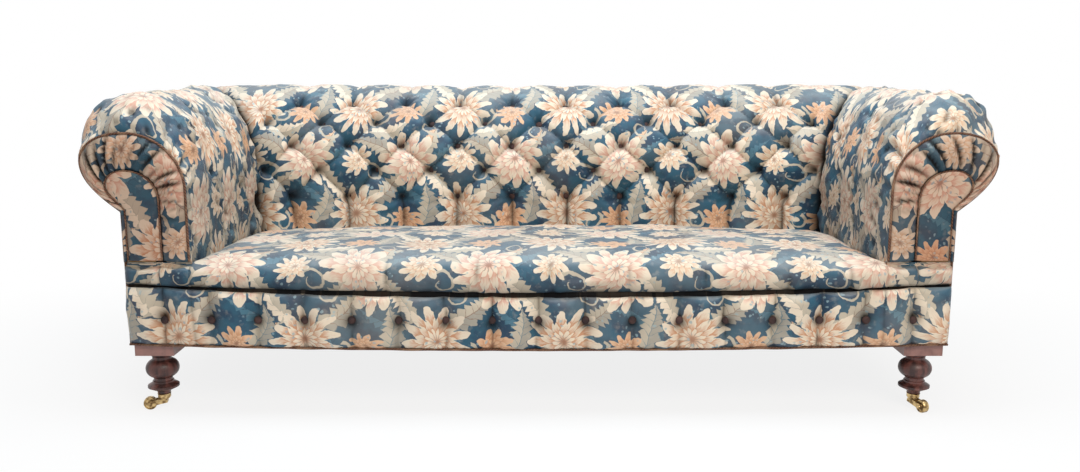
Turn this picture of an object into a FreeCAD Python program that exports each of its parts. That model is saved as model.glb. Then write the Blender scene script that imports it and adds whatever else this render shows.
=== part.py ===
import FreeCAD, Part
import bisect
import math
import os
import re
from FreeCAD import Placement, Rotation, Vector

# A scroll-arm chesterfield sofa on turned legs and brass castors, in millimetres.
# The front faces -Y, +Z is up, and the origin is on the floor under the middle of the box.

# Driving dimensions: alias, value, meaning
DIMENSIONS = [
    ("overall_width", 2230, "over the arm rolls"),
    ("overall_depth", 940, "seat lip to back roll"),
    ("base_half", 988, "half the width of the base and outside arms"),
    ("seat_half", 835, "middle of the seat to an arm's inner face"),
    ("lip_front", -470, "foremost line of the seat lip"),
    ("frame_front", -448, "front face of the wooden frame"),
    ("back_face", 168, "front of the back padding at the seat"),
    ("base_back", 333, "outside back plane"),
    ("cover_board", 6, "thickness of the outside covers with their lining"),
    ("base_bottom", 178, "lower edge of the border and outside covers"),
    ("rail_bottom", 184, "underside of the seat rails"),
    ("rail_top", 308, "top of the seat rails and leg blocks"),
    ("rail_thick", 32, "thickness of the seat rails"),
    ("tenon_thick", 12, "thickness of a seat rail tenon"),
    ("tenon_long", 40, "length of a seat rail tenon"),
    ("tenon_inset", 20, "shoulder above and below a tenon"),
    ("leg_square", 94, "side of a leg block"),
    ("leg_block_bottom", 149, "underside of a leg block"),
    ("leg_foot", 31, "lower end of a leg inside its castor socket"),
    ("pad_bottom", 320, "lower edge of the arm and back padding"),
    ("arm_crest", 776, "top of an arm"),
    ("arm_crest_run", 150, "inner arm face to the top of the roll"),
    ("arm_roll", 650, "height of an arm's outermost line"),
    ("arm_tack", 505, "lower edge of an arm roll"),
    ("arm_spring", 560, "where the arm face begins to curl"),
    ("back_crest", 772, "top of the back"),
    ("back_crest_run", 217, "back face to the top of its roll"),
    ("back_roll", 698, "height of the back's rearmost line"),
    ("back_tack", 520, "lower edge of the back roll"),
    ("back_spring", 532, "where the back face begins to curl"),
    ("back_wall", 85, "thickness of the back padding"),
    ("button_pitch", 160, "spacing of back buttons along a row"),
    ("row_first", 134, "lowest row of buttons above the pad's lower edge"),
    ("row_pitch", 79, "spacing of the rows along the surface"),
    ("button_depth", 30, "depth of a back button below the crown"),
    ("button_radius", 9, "radius of a covered button"),
    ("seat_front_top", 382, "seat lip height beside the arms"),
    ("seat_rear_top", 354, "seat height at the back, beside the arms"),
    ("seat_crown", 16, "rise of the seat in the middle"),
    ("seat_bottom", 310, "underside of the seat stuffing"),
    ("border_top", 309, "upper edge of the buttoned border"),
    ("border_pitch", 112.6, "spacing of the border buttons"),
    ("facing_bottom", 384, "lower edge of an arm facing"),
    ("facing_thick", 8, "thickness of an arm facing"),
    ("facing_reach", 231, "inner edge of a facing to its outermost line"),
    ("facing_crest", 690, "top of a facing"),
    ("facing_crest_run", 135, "inner edge of a facing to its top"),
    ("facing_spring", 555, "where a facing's inner edge begins to curl"),
    ("arm_nose", 110, "length of the arm's rounded front end"),
    ("piping_thick", 6, "thickness of the piping"),
    ("wheel_radius", 16, "castor wheel"),
    ("wheel_half", 8.2, "half the width of a castor wheel at its hub"),
    ("trail", 34, "castor axle behind its pivot"),
    ("pivot_radius", 4, "castor pivot pin"),
    ("axle_radius", 2.5, "castor axle"),
    ("running_gap", 0.05, "radial running clearance"),
    ("horn_top", 26.5, "top of a castor horn"),
    ("horn_under", 17.5, "underside of a castor horn's hub"),
    ("socket_bottom", 27, "underside of a castor socket"),
    ("socket_top", 40, "rim of a castor socket"),
]

doc = FreeCAD.newDocument("sofa")
sheet = doc.addObject("Spreadsheet::Sheet", "Dims")
for row, (alias, value, meaning) in enumerate(DIMENSIONS, start=1):
    sheet.set("A%d" % row, meaning)
    sheet.set("B%d" % row, str(value))
    sheet.setAlias("B%d" % row, alias)
doc.recompute()
dim = {alias: float(sheet.get(alias)) for alias, _, _ in DIMENSIONS}
sub_parts = []
RIGHT, LEFT = 1, -1
SIDE_NAME = {RIGHT: "right", LEFT: "left"}


# Helpers: binding, naming and plain shapes

def bind(item, prop, formula):
    """Bind a property to a formula whose words are cells of the sheet."""
    item.setExpression(prop, re.sub(r"[a-z][a-z_]+", lambda word: "Dims." + word.group(0), formula))


def keep(item, label):
    """Name a finished sub-part, so that it is checked and written."""
    item.Label = label
    sub_parts.append(item)
    return item


def add_box(name, x_span, y_span, z_span):
    """A box bound to the sheet: each span is a pair of formulas, low and high."""
    item = doc.addObject("Part::Box", name)
    for axis, size, (low, high) in zip("xyz", ("Length", "Width", "Height"), (x_span, y_span, z_span)):
        bind(item, "Placement.Base." + axis, low)
        bind(item, size, "(%s) - (%s)" % (high, low))
    return item


def side_span(side, near, far):
    """The X span of a piece between two distances from the middle, on one side."""
    if side == RIGHT:
        return (near, far)
    return ("-(%s)" % far, "-(%s)" % near)


def fuse(name, items):
    """Several document objects joined in one."""
    item = doc.addObject("Part::MultiFuse", name)
    item.Shapes = items
    return item


def cut(name, base, tools):
    """A document object with the room for other ones taken out."""
    item = doc.addObject("Part::Cut", name)
    item.Base = base
    item.Tool = tools[0] if len(tools) == 1 else fuse(name + "_room", tools)
    return item


def add_shape(label, shape, place=Placement()):
    """A sub-part whose shape is worked out below from the sheet's values."""
    item = doc.addObject("Part::Feature", label)
    item.Shape = shape
    item.Placement = place
    return keep(item, label)


def line(start, end):
    return Part.LineSegment(start, end).toShape()


def bezier(points):
    curve = Part.BezierCurve()
    curve.setPoles(points)
    return curve.toShape()


def edge_through(points):
    """A straight edge through two points or a curved one on four."""
    return line(*points) if len(points) == 2 else bezier(points)


def prism(edges, thickness):
    """A closed outline extruded along a vector."""
    return Part.Face(Part.Wire(edges)).extrude(thickness)


def turned(points):
    """A solid turned about Z from a closed outline of (radius, height) points."""
    outline = [Vector(radius, 0, height) for radius, height in points + points[:1]]
    return Part.Face(Part.makePolygon(outline)).revolve(Vector(), Vector(0, 0, 1), 360)


def patch(grid):
    """A smooth face through a three by three grid of points."""
    corners = [grid[0][0], grid[0][2], grid[2][0], grid[2][2]]
    middles = {}
    for row, column in ((0, 1), (2, 1), (1, 0), (1, 2)):
        ends = (grid[row][0], grid[row][2]) if column == 1 else (grid[0][column], grid[2][column])
        middles[row, column] = grid[row][column] * 2 - (ends[0] + ends[1]) * 0.5
    corner_sum = corners[0] + corners[1] + corners[2] + corners[3]
    middle_sum = middles[0, 1] + middles[2, 1] + middles[1, 0] + middles[1, 2]
    centre = grid[1][1] * 4 - corner_sum * 0.25 - middle_sum * 0.5
    surface = Part.BezierSurface()
    surface.increase(2, 2)
    for row in range(3):
        for column in range(3):
            pole = middles.get((row, column), grid[row][column])
            surface.setPole(row + 1, column + 1, centre if (row, column) == (1, 1) else pole)
    return surface.toShape()


def closed_solid(faces):
    """Faces that share their edges, sewn to a solid."""
    shell = Part.makeShell(faces)
    shell.sewShape()
    solid = Part.makeSolid(Part.Shell(shell.Faces))
    if solid.Volume < 0:
        solid.reverse()
    return solid


# The roll that arms and back share: outlines as (run from the inner face, height)

class Roll:
    """A scrolled section: its face goes up, curls over the crest and under to the tack line."""

    SIZES = ("reach", "tack_run", "wall", "crest_run", "crest", "roll", "tack", "spring")
    TAIL = (7, 8)
    UNDER_WALL = (64, 66)
    SIDE_WALL = (57, 30)
    CREST_WALL = 63

    def __init__(self, reach, tack_run, wall, crest_run, crest, roll, tack, spring):
        self.reach = reach
        self.tack_run = tack_run
        self.wall = wall
        self.crest_run = crest_run
        self.crest = crest
        self.roll = roll
        self.tack = tack
        self.spring = spring

    def curl(self, inset=0.0):
        """The three curves over the crest, the outermost line and under, drawn in by an inset."""
        rise = self.crest - self.spring
        past = self.reach - self.crest_run
        drop = self.crest - self.roll
        fall = self.roll - self.tack
        overhang = self.reach - self.tack_run
        over = [(inset, self.spring), (inset, self.spring + 0.55 * rise),
                (0.43 * self.crest_run, self.crest - inset), (self.crest_run, self.crest - inset)]
        down = [over[-1], (self.crest_run + 0.58 * past, self.crest - inset),
                (self.reach - inset, self.roll + 0.62 * drop), (self.reach - inset, self.roll)]
        under = [down[-1], (self.reach - inset, self.roll - 0.42 * fall),
                 (self.tack_run + 0.39 * overhang - inset, self.tack + 0.23 * fall),
                 (self.tack_run - inset, self.tack)]
        return [over, down, under]

    def outer(self, bottom, inset=0.0):
        """Every run of the outside, from the lower edge of the face to the tack line."""
        curves = self.curl(inset)
        return [[(inset, bottom), curves[0][0]]] + curves

    def inner(self, bottom):
        """The inside of the padding, from the tack line back to the lower edge of the face."""
        tail = (self.tack_run - self.TAIL[0], self.tack + self.TAIL[1])
        under = (self.reach - self.UNDER_WALL[0], self.tack + self.UNDER_WALL[1])
        side = (self.reach - self.SIDE_WALL[0], self.roll - self.SIDE_WALL[1])
        top = (self.crest_run, self.crest - self.CREST_WALL)
        face = (self.wall, self.spring)
        foot = (self.wall, bottom)
        round_out = [side, (side[0], side[1] + 0.7 * (top[1] - side[1])),
                     (top[0] + 0.5 * (side[0] - top[0]), top[1]), top]
        round_in = [top, (face[0] + 0.42 * (top[0] - face[0]), top[1]),
                    (face[0], face[1] + 0.6 * (top[1] - face[1])), face]
        tack = (self.tack_run, self.tack)
        return [[tack, tail], [tail, under], [under, side], round_out, round_in, [face, foot]]

    def toward(self, other, share):
        """The section a share of the way from this one to another."""
        def between(name):
            return getattr(self, name) + share * (getattr(other, name) - getattr(self, name))
        return Roll(*[between(name) for name in self.SIZES])


arm_reach = dim["overall_width"] / 2 - dim["seat_half"]
back_reach = dim["overall_depth"] / 2 - dim["back_face"]
mitre = arm_reach / back_reach
back_tack_run = dim["base_back"] - dim["back_face"]
arm_tack_run = dim["base_half"] - dim["seat_half"]
arm_wall = dim["back_wall"] * mitre
arm_roll = Roll(arm_reach, arm_tack_run, arm_wall, dim["arm_crest_run"], dim["arm_crest"],
                dim["arm_roll"], dim["arm_tack"], dim["arm_spring"])
facing_roll = Roll(dim["facing_reach"], arm_tack_run, arm_wall, dim["facing_crest_run"], dim["facing_crest"],
                   dim["arm_roll"], dim["arm_tack"], dim["facing_spring"])
back_roll = Roll(back_reach, back_tack_run, dim["back_wall"], dim["back_crest_run"], dim["back_crest"],
                 dim["back_roll"], dim["back_tack"], dim["back_spring"])


def arm_point(side, depth, point):
    """A point of the arm's section at a depth, from its run and height."""
    return Vector(side * (dim["seat_half"] + point[0]), depth, point[1])


def mitre_point(side, point):
    """A point of the back's section on the mitre where arm and back meet."""
    return Vector(side * (dim["seat_half"] + point[0] * mitre), dim["back_face"] + point[0], point[1])


# Seat frame: rails tenoned into the leg blocks

LEG_SITES = {
    "front_left": (LEFT, "frame_front + leg_square / 2"),
    "front_right": (RIGHT, "frame_front + leg_square / 2"),
    "rear_left": (LEFT, "base_back - cover_board - leg_square / 2"),
    "rear_right": (RIGHT, "base_back - cover_board - leg_square / 2"),
}
BLOCK_NEAR = "base_half - cover_board - leg_square"
BLOCK_FAR = "base_half - cover_board"
RAIL_HEIGHT = ("rail_bottom", "rail_top")
TENON_HEIGHT = ("rail_bottom + tenon_inset", "rail_top - tenon_inset")
leg_tenons = {corner: [] for corner in LEG_SITES}

for end, y_low in (("front", "frame_front"), ("rear", "base_back - cover_board - rail_thick")):
    label = "front_seat_rail" if end == "front" else "back_seat_rail"
    pieces = [add_box(label + "_body", ("-(%s)" % BLOCK_NEAR, BLOCK_NEAR),
                      (y_low, y_low + " + rail_thick"), RAIL_HEIGHT)]
    tenon_y = y_low + " + rail_thick / 2 - tenon_thick / 2"
    for side in (LEFT, RIGHT):
        tenon = add_box("%s_%s_tenon" % (label, SIDE_NAME[side]),
                        side_span(side, BLOCK_NEAR, BLOCK_NEAR + " + tenon_long"),
                        (tenon_y, tenon_y + " + tenon_thick"), TENON_HEIGHT)
        pieces.append(tenon)
        leg_tenons["%s_%s" % (end, SIDE_NAME[side])].append(tenon)
    keep(fuse(label, pieces), label)

for side in (LEFT, RIGHT):
    label = SIDE_NAME[side] + "_seat_rail"
    front_shoulder = "frame_front + leg_square"
    rear_shoulder = "base_back - cover_board - leg_square"
    pieces = [add_box(label + "_body", side_span(side, BLOCK_FAR + " - rail_thick", BLOCK_FAR),
                      (front_shoulder, rear_shoulder), RAIL_HEIGHT)]
    tenon_x = BLOCK_FAR + " - rail_thick / 2 - tenon_thick / 2"
    spans = {"front": (front_shoulder + " - tenon_long", front_shoulder),
             "rear": (rear_shoulder, rear_shoulder + " + tenon_long")}
    for end, span in spans.items():
        tenon = add_box("%s_%s_tenon" % (label, end),
                        side_span(side, tenon_x, tenon_x + " + tenon_thick"), span, TENON_HEIGHT)
        pieces.append(tenon)
        leg_tenons["%s_%s" % (end, SIDE_NAME[side])].append(tenon)
    keep(fuse(label, pieces), label)

# Arm and back frame: stumps, posts, stays and the rails housed in them

HOUSING = 14
STUMP_THICK = 28
ARM_PLANE = dim["seat_half"] + arm_roll.wall + 2
BACK_PLANE = dim["back_face"] + dim["back_wall"] + 2
POST_BACK = 64
POST_TOP = 656
POST_CHAMFER = (44, 550)
POST_FAR = dim["base_half"] - dim["cover_board"] - 2
stump_rear = dim["frame_front"] + STUMP_THICK
post_front = BACK_PLANE + 3


def plan_prism(points, z_low, z_high):
    """A board or rail from its outline in plan and its height span."""
    outline = [Vector(x, y, z_low) for x, y in points + points[:1]]
    return prism([Part.makePolygon(outline)], Vector(0, 0, z_high - z_low))


def side_board(outline, x_low, thickness):
    """A board standing in the YZ plane from its outline there."""
    corners = [Vector(x_low, y, z) for y, z in outline + outline[:1]]
    return prism([Part.makePolygon(corners)], Vector(thickness, 0, 0))


ARM_TOP_RAIL = (932, 962, 545, 578)
ARM_SCROLL_RAIL = (972, 998, 580, 612)
SCROLL_FLARE = 35
ARM_TACK_RAIL = (ARM_PLANE, ARM_PLANE + 28, 336, 368)
BACK_TOP_RAIL = (296, 322, 610, 642)
BACK_TACK_RAIL = (post_front, post_front + 25, 380, 412)
scroll_x = [x + SCROLL_FLARE for x in ARM_SCROLL_RAIL[:2]]
scroll_y = [dim["back_face"] + (x - dim["seat_half"]) / mitre for x in scroll_x]

arm_rails = {}
for side in (LEFT, RIGHT):
    name = SIDE_NAME[side]
    near, far, low, high = ARM_TOP_RAIL
    y_span = (stump_rear - HOUSING, post_front + HOUSING)
    top_rail = plan_prism([(side * near, y_span[0]), (side * far, y_span[0]),
                           (side * far, y_span[1]), (side * near, y_span[1])], low, high)
    near, far, low, high = ARM_TACK_RAIL
    tack_rail = plan_prism([(side * near, y_span[0]), (side * far, y_span[0]),
                            (side * far, y_span[1]), (side * near, y_span[1])], low, high)
    near, far, low, high = ARM_SCROLL_RAIL
    scroll_rail = plan_prism([(side * near, y_span[0]), (side * far, y_span[0]),
                              (side * scroll_x[1], scroll_y[1]),
                              (side * scroll_x[0], scroll_y[0])], low, high)
    arm_rails[side] = [add_shape(name + "_arm_top_rail", top_rail),
                       add_shape(name + "_arm_tack_rail", tack_rail),
                       add_shape(name + "_arm_scroll_rail", scroll_rail)]

low, high = ARM_SCROLL_RAIL[2:]
back_scroll = plan_prism([(-scroll_x[0], scroll_y[0]), (scroll_x[0], scroll_y[0]),
                          (scroll_x[1], scroll_y[1]), (-scroll_x[1], scroll_y[1])], low, high)
back_scroll_rail = add_shape("back_scroll_rail", back_scroll)
back_rails = [back_scroll_rail]
for label, (y_low, y_high, z_low, z_high) in (("back_top_rail", BACK_TOP_RAIL),
                                              ("back_tack_rail", BACK_TACK_RAIL)):
    half = ARM_PLANE + 2 + HOUSING
    rail = plan_prism([(-half, y_low), (half, y_low), (half, y_high), (-half, y_high)], z_low, z_high)
    back_rails.append(add_shape(label, rail))

STUMP_INSET = 2
STUMP_TENON = 18
STUMP_NECK = 12


def stump_edges(side):
    """The scroll board's outline: the inside of the arm padding, drawn in a little, down to the rail."""
    runs = facing_roll.inner(dim["rail_top"])[2:]
    stem = POST_FAR - dim["seat_half"]
    neck = (stem, facing_roll.tack + STUMP_NECK)
    foot = (runs[-1][1][0] + STUMP_INSET, dim["rail_top"])
    shrink = [[(run + (STUMP_INSET if run < facing_roll.crest_run else -STUMP_INSET), height - STUMP_INSET)
               for run, height in curve] for curve in runs[:-1]]
    points = [[(stem, dim["rail_top"]), neck], [neck, shrink[0][0]]] + shrink
    points.append([shrink[-1][-1], foot])
    points.append([foot, (stem, dim["rail_top"])])
    return [edge_through([arm_point(side, dim["frame_front"], p) for p in run]) for run in points]


stump_tenons = {}
for side in (LEFT, RIGHT):
    name = SIDE_NAME[side]
    board = prism(stump_edges(side), Vector(0, STUMP_THICK, 0))
    tenon_x = sorted((side * (ARM_PLANE + 12), side * (POST_FAR - 12)))
    tenon_low = dim["rail_top"] - STUMP_TENON
    tenon = Part.makeBox(tenon_x[1] - tenon_x[0], 10, STUMP_TENON,
                         Vector(tenon_x[0], dim["frame_front"] + STUMP_THICK - 9, tenon_low))
    stump_tenons[side] = doc.addObject("Part::Feature", name + "_stump_tenon")
    stump_tenons[side].Shape = tenon
    blank = doc.addObject("Part::Feature", name + "_stump_blank")
    blank.Shape = board.fuse(tenon)
    keep(cut(name + "_arm_stump", blank, arm_rails[side]), name + "_arm_stump")

POST_OUTLINE = [(post_front, dim["rail_top"]), (post_front + POST_BACK, dim["rail_top"]),
                (post_front + POST_BACK, POST_TOP), (post_front + POST_CHAMFER[0], POST_TOP),
                (post_front, POST_CHAMFER[1])]
for side in (LEFT, RIGHT):
    name = SIDE_NAME[side]
    post_width = POST_FAR - ARM_PLANE - 2
    x_low = ARM_PLANE + 2 if side == RIGHT else -POST_FAR
    blank = doc.addObject("Part::Feature", name + "_post_blank")
    blank.Shape = side_board(POST_OUTLINE, x_low, post_width)
    housed = arm_rails[side][:2] + back_rails[1:]
    keep(cut(name + "_back_post", blank, housed), name + "_back_post")

STAY_THICK = 28
STAY_X = (-420, 0, 420)
RAIL_BACK = dim["base_back"] - dim["cover_board"]


def stay(x):
    """A back stay: foot on the seat rail, scroll head under the roll."""
    def at(y, z):
        return Vector(x - STAY_THICK / 2, y, z)
    foot_front = RAIL_BACK - dim["rail_thick"]
    head = [at(394, 622), at(402, 666), at(376, 700)]
    brow = [at(334, 686), at(289, 641), at(post_front + 2, 548)]
    stay_back = RAIL_BACK - 4
    edges = [line(at(foot_front, dim["rail_top"]), at(stay_back, dim["rail_top"])),
             line(at(stay_back, dim["rail_top"]), at(stay_back, 540)),
             line(at(stay_back, 540), head[0]),
             Part.Arc(*head).toShape(),
             line(head[2], brow[0]),
             Part.Arc(*brow).toShape(),
             line(brow[2], at(post_front + 2, 372)),
             line(at(post_front + 2, 372), at(foot_front, dim["rail_top"]))]
    return prism(edges, Vector(STAY_THICK, 0, 0))


stays_blank = doc.addObject("Part::Feature", "stays_blank")
stays_blank.Shape = Part.makeCompound([stay(x) for x in STAY_X])
keep(cut("back_stays", stays_blank, back_rails), "back_stays")

# Corner braces and their screws

BRACE_LEG = (125, 165)
BRACE_SPAN = (256, 286)
SCREW_RADIUS = 2.5
SCREW_LONG = 46
SCREW_HEAD = (5, 3)
inner_x = dim["base_half"] - dim["cover_board"] - dim["rail_thick"]
inner_front = dim["frame_front"] + dim["rail_thick"]
inner_rear = RAIL_BACK - dim["rail_thick"]


def corner_brace(side, facing, rail_y):
    """A board across a corner of the seat frame, between two rails."""
    short, long_leg = BRACE_LEG
    plan = [(side * (inner_x - short), rail_y), (side * inner_x, rail_y + facing * short),
            (side * inner_x, rail_y + facing * long_leg), (side * (inner_x - long_leg), rail_y)]
    return plan_prism(plan, *BRACE_SPAN)


def brace_screw(side, facing, rail_y):
    """A screw through the middle of a brace's end, into the rail it meets."""
    height = sum(BRACE_SPAN) / 2
    reach = sum(BRACE_LEG) / 2
    head_at = Vector(side * (inner_x - reach + 4), rail_y + facing * 24, height)
    direction = Vector(0, -facing, 0)
    shank = Part.makeCylinder(SCREW_RADIUS, SCREW_LONG, head_at, direction)
    head = Part.makeCylinder(SCREW_HEAD[0], SCREW_HEAD[1], head_at - direction * SCREW_HEAD[1], direction)
    return shank.fuse(head).removeSplitter()


corners = [(side, facing, rail_y) for side in (LEFT, RIGHT)
           for facing, rail_y in ((1, inner_front), (-1, inner_rear))]
add_shape("corner_braces", Part.makeCompound([corner_brace(*corner) for corner in corners]))
add_shape("brace_screws", Part.makeCompound([brace_screw(*corner) for corner in corners]))

# Seat support: webbing under the rails, springs on it, canvas over them

WEB_WIDE = 50
WEB_THICK = 3
CROSS_WEBS = 12
CROSS_PITCH = 138
LONG_WEB_Y = (-260, -110, 40, 190)
SPRING_ROWS = (-255, -110, 35)
SPRING_COLUMNS = 7
SPRING_PITCH = 236
SPRING_TURNS = 4
SPRING_END_RADIUS = 42
SPRING_WAIST = 16
SPRING_WIRE = 1.9

webs = []
for number in range(CROSS_WEBS):
    middle = (number - (CROSS_WEBS - 1) / 2) * CROSS_PITCH
    corner = Vector(middle - WEB_WIDE / 2, dim["frame_front"], dim["rail_bottom"] - WEB_THICK)
    webs.append(Part.makeBox(WEB_WIDE, RAIL_BACK - dim["frame_front"], WEB_THICK, corner))
add_shape("cross_webbing", Part.makeCompound(webs))
long_half = dim["base_half"] - dim["cover_board"]
long_webs = [Part.makeBox(2 * long_half, WEB_WIDE, WEB_THICK,
                          Vector(-long_half, y - WEB_WIDE / 2, dim["rail_bottom"] - 2 * WEB_THICK))
             for y in LONG_WEB_Y]
add_shape("long_webbing", Part.makeCompound(long_webs))

keep(add_box("spring_canvas", ("-seat_half - 70", "seat_half + 70"),
             ("frame_front + 2", "back_face + 70"),
             ("rail_top + 0.5", "seat_bottom")), "spring_canvas")

spring_low = dim["rail_bottom"] + SPRING_WIRE + 0.2
spring_high = dim["rail_top"] - SPRING_WIRE - 0.2


def spring_point(angle):
    """A point of the double-cone spring's line at an angle along it."""
    share = angle / (2 * math.pi * SPRING_TURNS)
    radius = SPRING_END_RADIUS - SPRING_WAIST * math.sin(math.pi * share)
    height = spring_low + (spring_high - spring_low) * share
    return Vector(radius * math.cos(angle), radius * math.sin(angle), height)


def spring_tangent(angle):
    step = 1e-4
    return (spring_point(angle + step) - spring_point(angle - step)).normalize()


def arc_between(start, control, end):
    """The arc from start to end whose end tangents meet in the control point."""
    chord = end - start
    middle = (start + end) * 0.5
    half_angle = chord.getAngle(control - start)
    outward = (control - middle).normalize()
    return Part.Arc(start, middle + outward * (chord.Length / 2 * math.tan(half_angle / 2)), end).toShape()


def biarc(start_angle, end_angle):
    """Two arcs that join two points of the spring's line with its tangents."""
    start, end = spring_point(start_angle), spring_point(end_angle)
    leaving, arriving = spring_tangent(start_angle), spring_tangent(end_angle)
    chord = end - start
    both = leaving + arriving
    square = 2 * (1 - leaving.dot(arriving))
    half = chord.dot(both)
    reach = (-half + math.sqrt(half * half + square * chord.dot(chord))) / square
    first, second = start + leaving * reach, end - arriving * reach
    joint = (first + second) * 0.5
    return [arc_between(start, first, joint), arc_between(joint, second, end)]


def spring():
    """One coil spring, a round wire along quarter-turn biarcs."""
    quarter = math.pi / 2
    edges = []
    for number in range(4 * SPRING_TURNS):
        edges += biarc(number * quarter, (number + 1) * quarter)
    path = Part.Wire(edges)
    section = Part.Wire([Part.Circle(spring_point(0), spring_tangent(0), SPRING_WIRE).toShape()])
    return path.makePipeShell([section], True, False)


def spring_self_gap():
    """The least gap between neighbouring turns, measured on points of the line."""
    steps = 48
    line_points = [spring_point(2 * math.pi * number / steps) for number in range(steps * SPRING_TURNS)]
    gaps = [line_points[first].distanceToPoint(line_points[second])
            for first in range(len(line_points)) for second in range(first + steps // 2, len(line_points))]
    return min(gaps) - 2 * SPRING_WIRE


one_spring = spring()
print("least gap of a spring to itself: %.1f mm" % spring_self_gap())
springs = []
for y in SPRING_ROWS:
    for column in range(SPRING_COLUMNS):
        copy = one_spring.copy()
        copy.translate(Vector((column - (SPRING_COLUMNS - 1) / 2) * SPRING_PITCH, y, 0))
        springs.append(copy)
add_shape("seat_springs", Part.makeCompound(springs))

# Arm padding: the roll swells from the facing over a rounded nose, then runs to the mitre at the back

NOSE_STATIONS = (0, 0.08, 0.25, 0.55, 1)


def section_wire(roll, place):
    """The closed outline of the padding's section, each point put in space by a function."""
    bottom = dim["pad_bottom"]
    runs = roll.outer(bottom) + roll.inner(bottom) + [[(roll.wall, bottom), (0, bottom)]]
    return Part.Wire([edge_through([place(p) for p in run]) for run in runs])


def arm_sections(side):
    """The sections of an arm from its facing to the mitre."""
    wires = []
    for station in NOSE_STATIONS:
        swell = math.sqrt(1 - (1 - station) ** 2)
        depth = dim["frame_front"] + station * dim["arm_nose"]
        wires.append(section_wire(facing_roll.toward(arm_roll, swell), lambda p: arm_point(side, depth, p)))
    wires.append(section_wire(back_roll, lambda p: mitre_point(side, p)))
    return wires


for side in (LEFT, RIGHT):
    add_shape(SIDE_NAME[side] + "_arm_pad", Part.makeLoft(arm_sections(side), True, True))


# Back padding: deep buttoned diamonds, each a smooth patch between four buttons

class BackSurface:
    """The curved outside of the back, addressed by X, distance along the section and height off it."""

    SAMPLES = 200
    EDGE = None

    def __init__(self, roll, bottom):
        points = []
        for run in roll.outer(bottom)[:2]:
            curve = edge_through([Vector(0, *p) for p in run])
            points += curve.discretize(self.SAMPLES)[0 if not points else 1:]
        self.points = points
        self.lengths = [0.0]
        for first, second in zip(points, points[1:]):
            self.lengths.append(self.lengths[-1] + first.distanceToPoint(second))
        self.crest = self.lengths[-1]

    def at(self, side, x, along, height):
        """The point at X (or on the mitre at a side), a distance along and a height off the surface."""
        number = min(len(self.lengths) - 1, max(1, bisect.bisect_left(self.lengths, along)))
        first, second = self.points[number - 1], self.points[number]
        share = (along - self.lengths[number - 1]) / (self.lengths[number] - self.lengths[number - 1])
        on_line = first + (second - first) * share
        tangent = self.slope(number, share)
        run = on_line.y - tangent.z * height
        level = on_line.z + tangent.y * height
        if x is self.EDGE:
            return mitre_point(side, (run, level))
        return Vector(x, dim["back_face"] + run, level)

    def slope(self, number, share):
        """The direction along the section, blended between the neighbouring samples."""
        last = len(self.points) - 1
        before = self.points[number] - self.points[number - 1]
        after = self.points[min(last, number + 1)] - self.points[min(last - 1, number)]
        return (before * (1 - share) + after * share).normalize()


EDGE = BackSurface.EDGE
surface = BackSurface(back_roll, dim["pad_bottom"])
ROW_COUNT = 5
row_at = [dim["row_first"] + number * dim["row_pitch"] for number in range(ROW_COUNT)]
pitch = dim["button_pitch"]
WIDE_HALF = 5
DEPTH = -dim["button_depth"]
PLEAT = -12.0
CROWN = 6.0
FOOT_PLEAT = -10.0
FOOT_CROWN = -1.0
MITRE_TUCK = -10.0
STRIP_PLEAT = -15.0
STRIP_CROWN = 4.0
TOP_CROWN = -3.0


def button_columns(row):
    """The X places of a row's buttons: odd rows are wide, even rows stand between them."""
    if row % 2:
        return [number * pitch for number in range(-WIDE_HALF, WIDE_HALF + 1)]
    return [(number + 0.5) * pitch for number in range(-WIDE_HALF, WIDE_HALF)]


def quad(side, corners, middles, centre):
    """A patch from four corners, four edge middles and a centre, each (x, along, height)."""
    a, b, c, d = [surface.at(side, *corner) for corner in corners]
    ab, bc, cd, da = [surface.at(side, *middle) for middle in middles]
    return patch([[a, ab, b], [da, surface.at(side, *centre), bc], [d, cd, c]])


def diamond(x, row):
    """The padded diamond around X between the buttons of three rows."""
    half = pitch / 2
    low, mid, high = row_at[row - 1], row_at[row], row_at[row + 1]
    corners = [(x - half, mid, DEPTH), (x, low, DEPTH), (x + half, mid, DEPTH), (x, high, DEPTH)]
    middles = [((first[0] + second[0]) / 2, (first[1] + second[1]) / 2, PLEAT)
               for first, second in zip(corners, corners[1:] + corners[:1])]
    return quad(RIGHT, corners, middles, (x, mid, CROWN))


def strip(x, half, edge_along, heights, rows):
    """Half a channel between the buttoned rows and an edge of the padding, beside the pleat at x + half."""
    near, far = row_at[rows[0]], row_at[rows[1]]
    pleat_x = x + half
    edge_pleat, edge_crown, pleat, crown = heights
    corners = [(x, edge_along, edge_crown), (pleat_x, edge_along, edge_pleat),
               (pleat_x, near, DEPTH), (x, far, DEPTH)]
    middles = [(x + half / 2, edge_along, (edge_pleat + 3 * edge_crown) / 4),
               (pleat_x, (edge_along + near) / 2, pleat),
               (x + half / 2, (near + far) / 2, PLEAT),
               (x, (edge_along + far) / 2, crown)]
    return quad(RIGHT, corners, middles, (x + half / 2, edge_along / 2 + (near + far) / 4, crown - 1.6))


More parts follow.
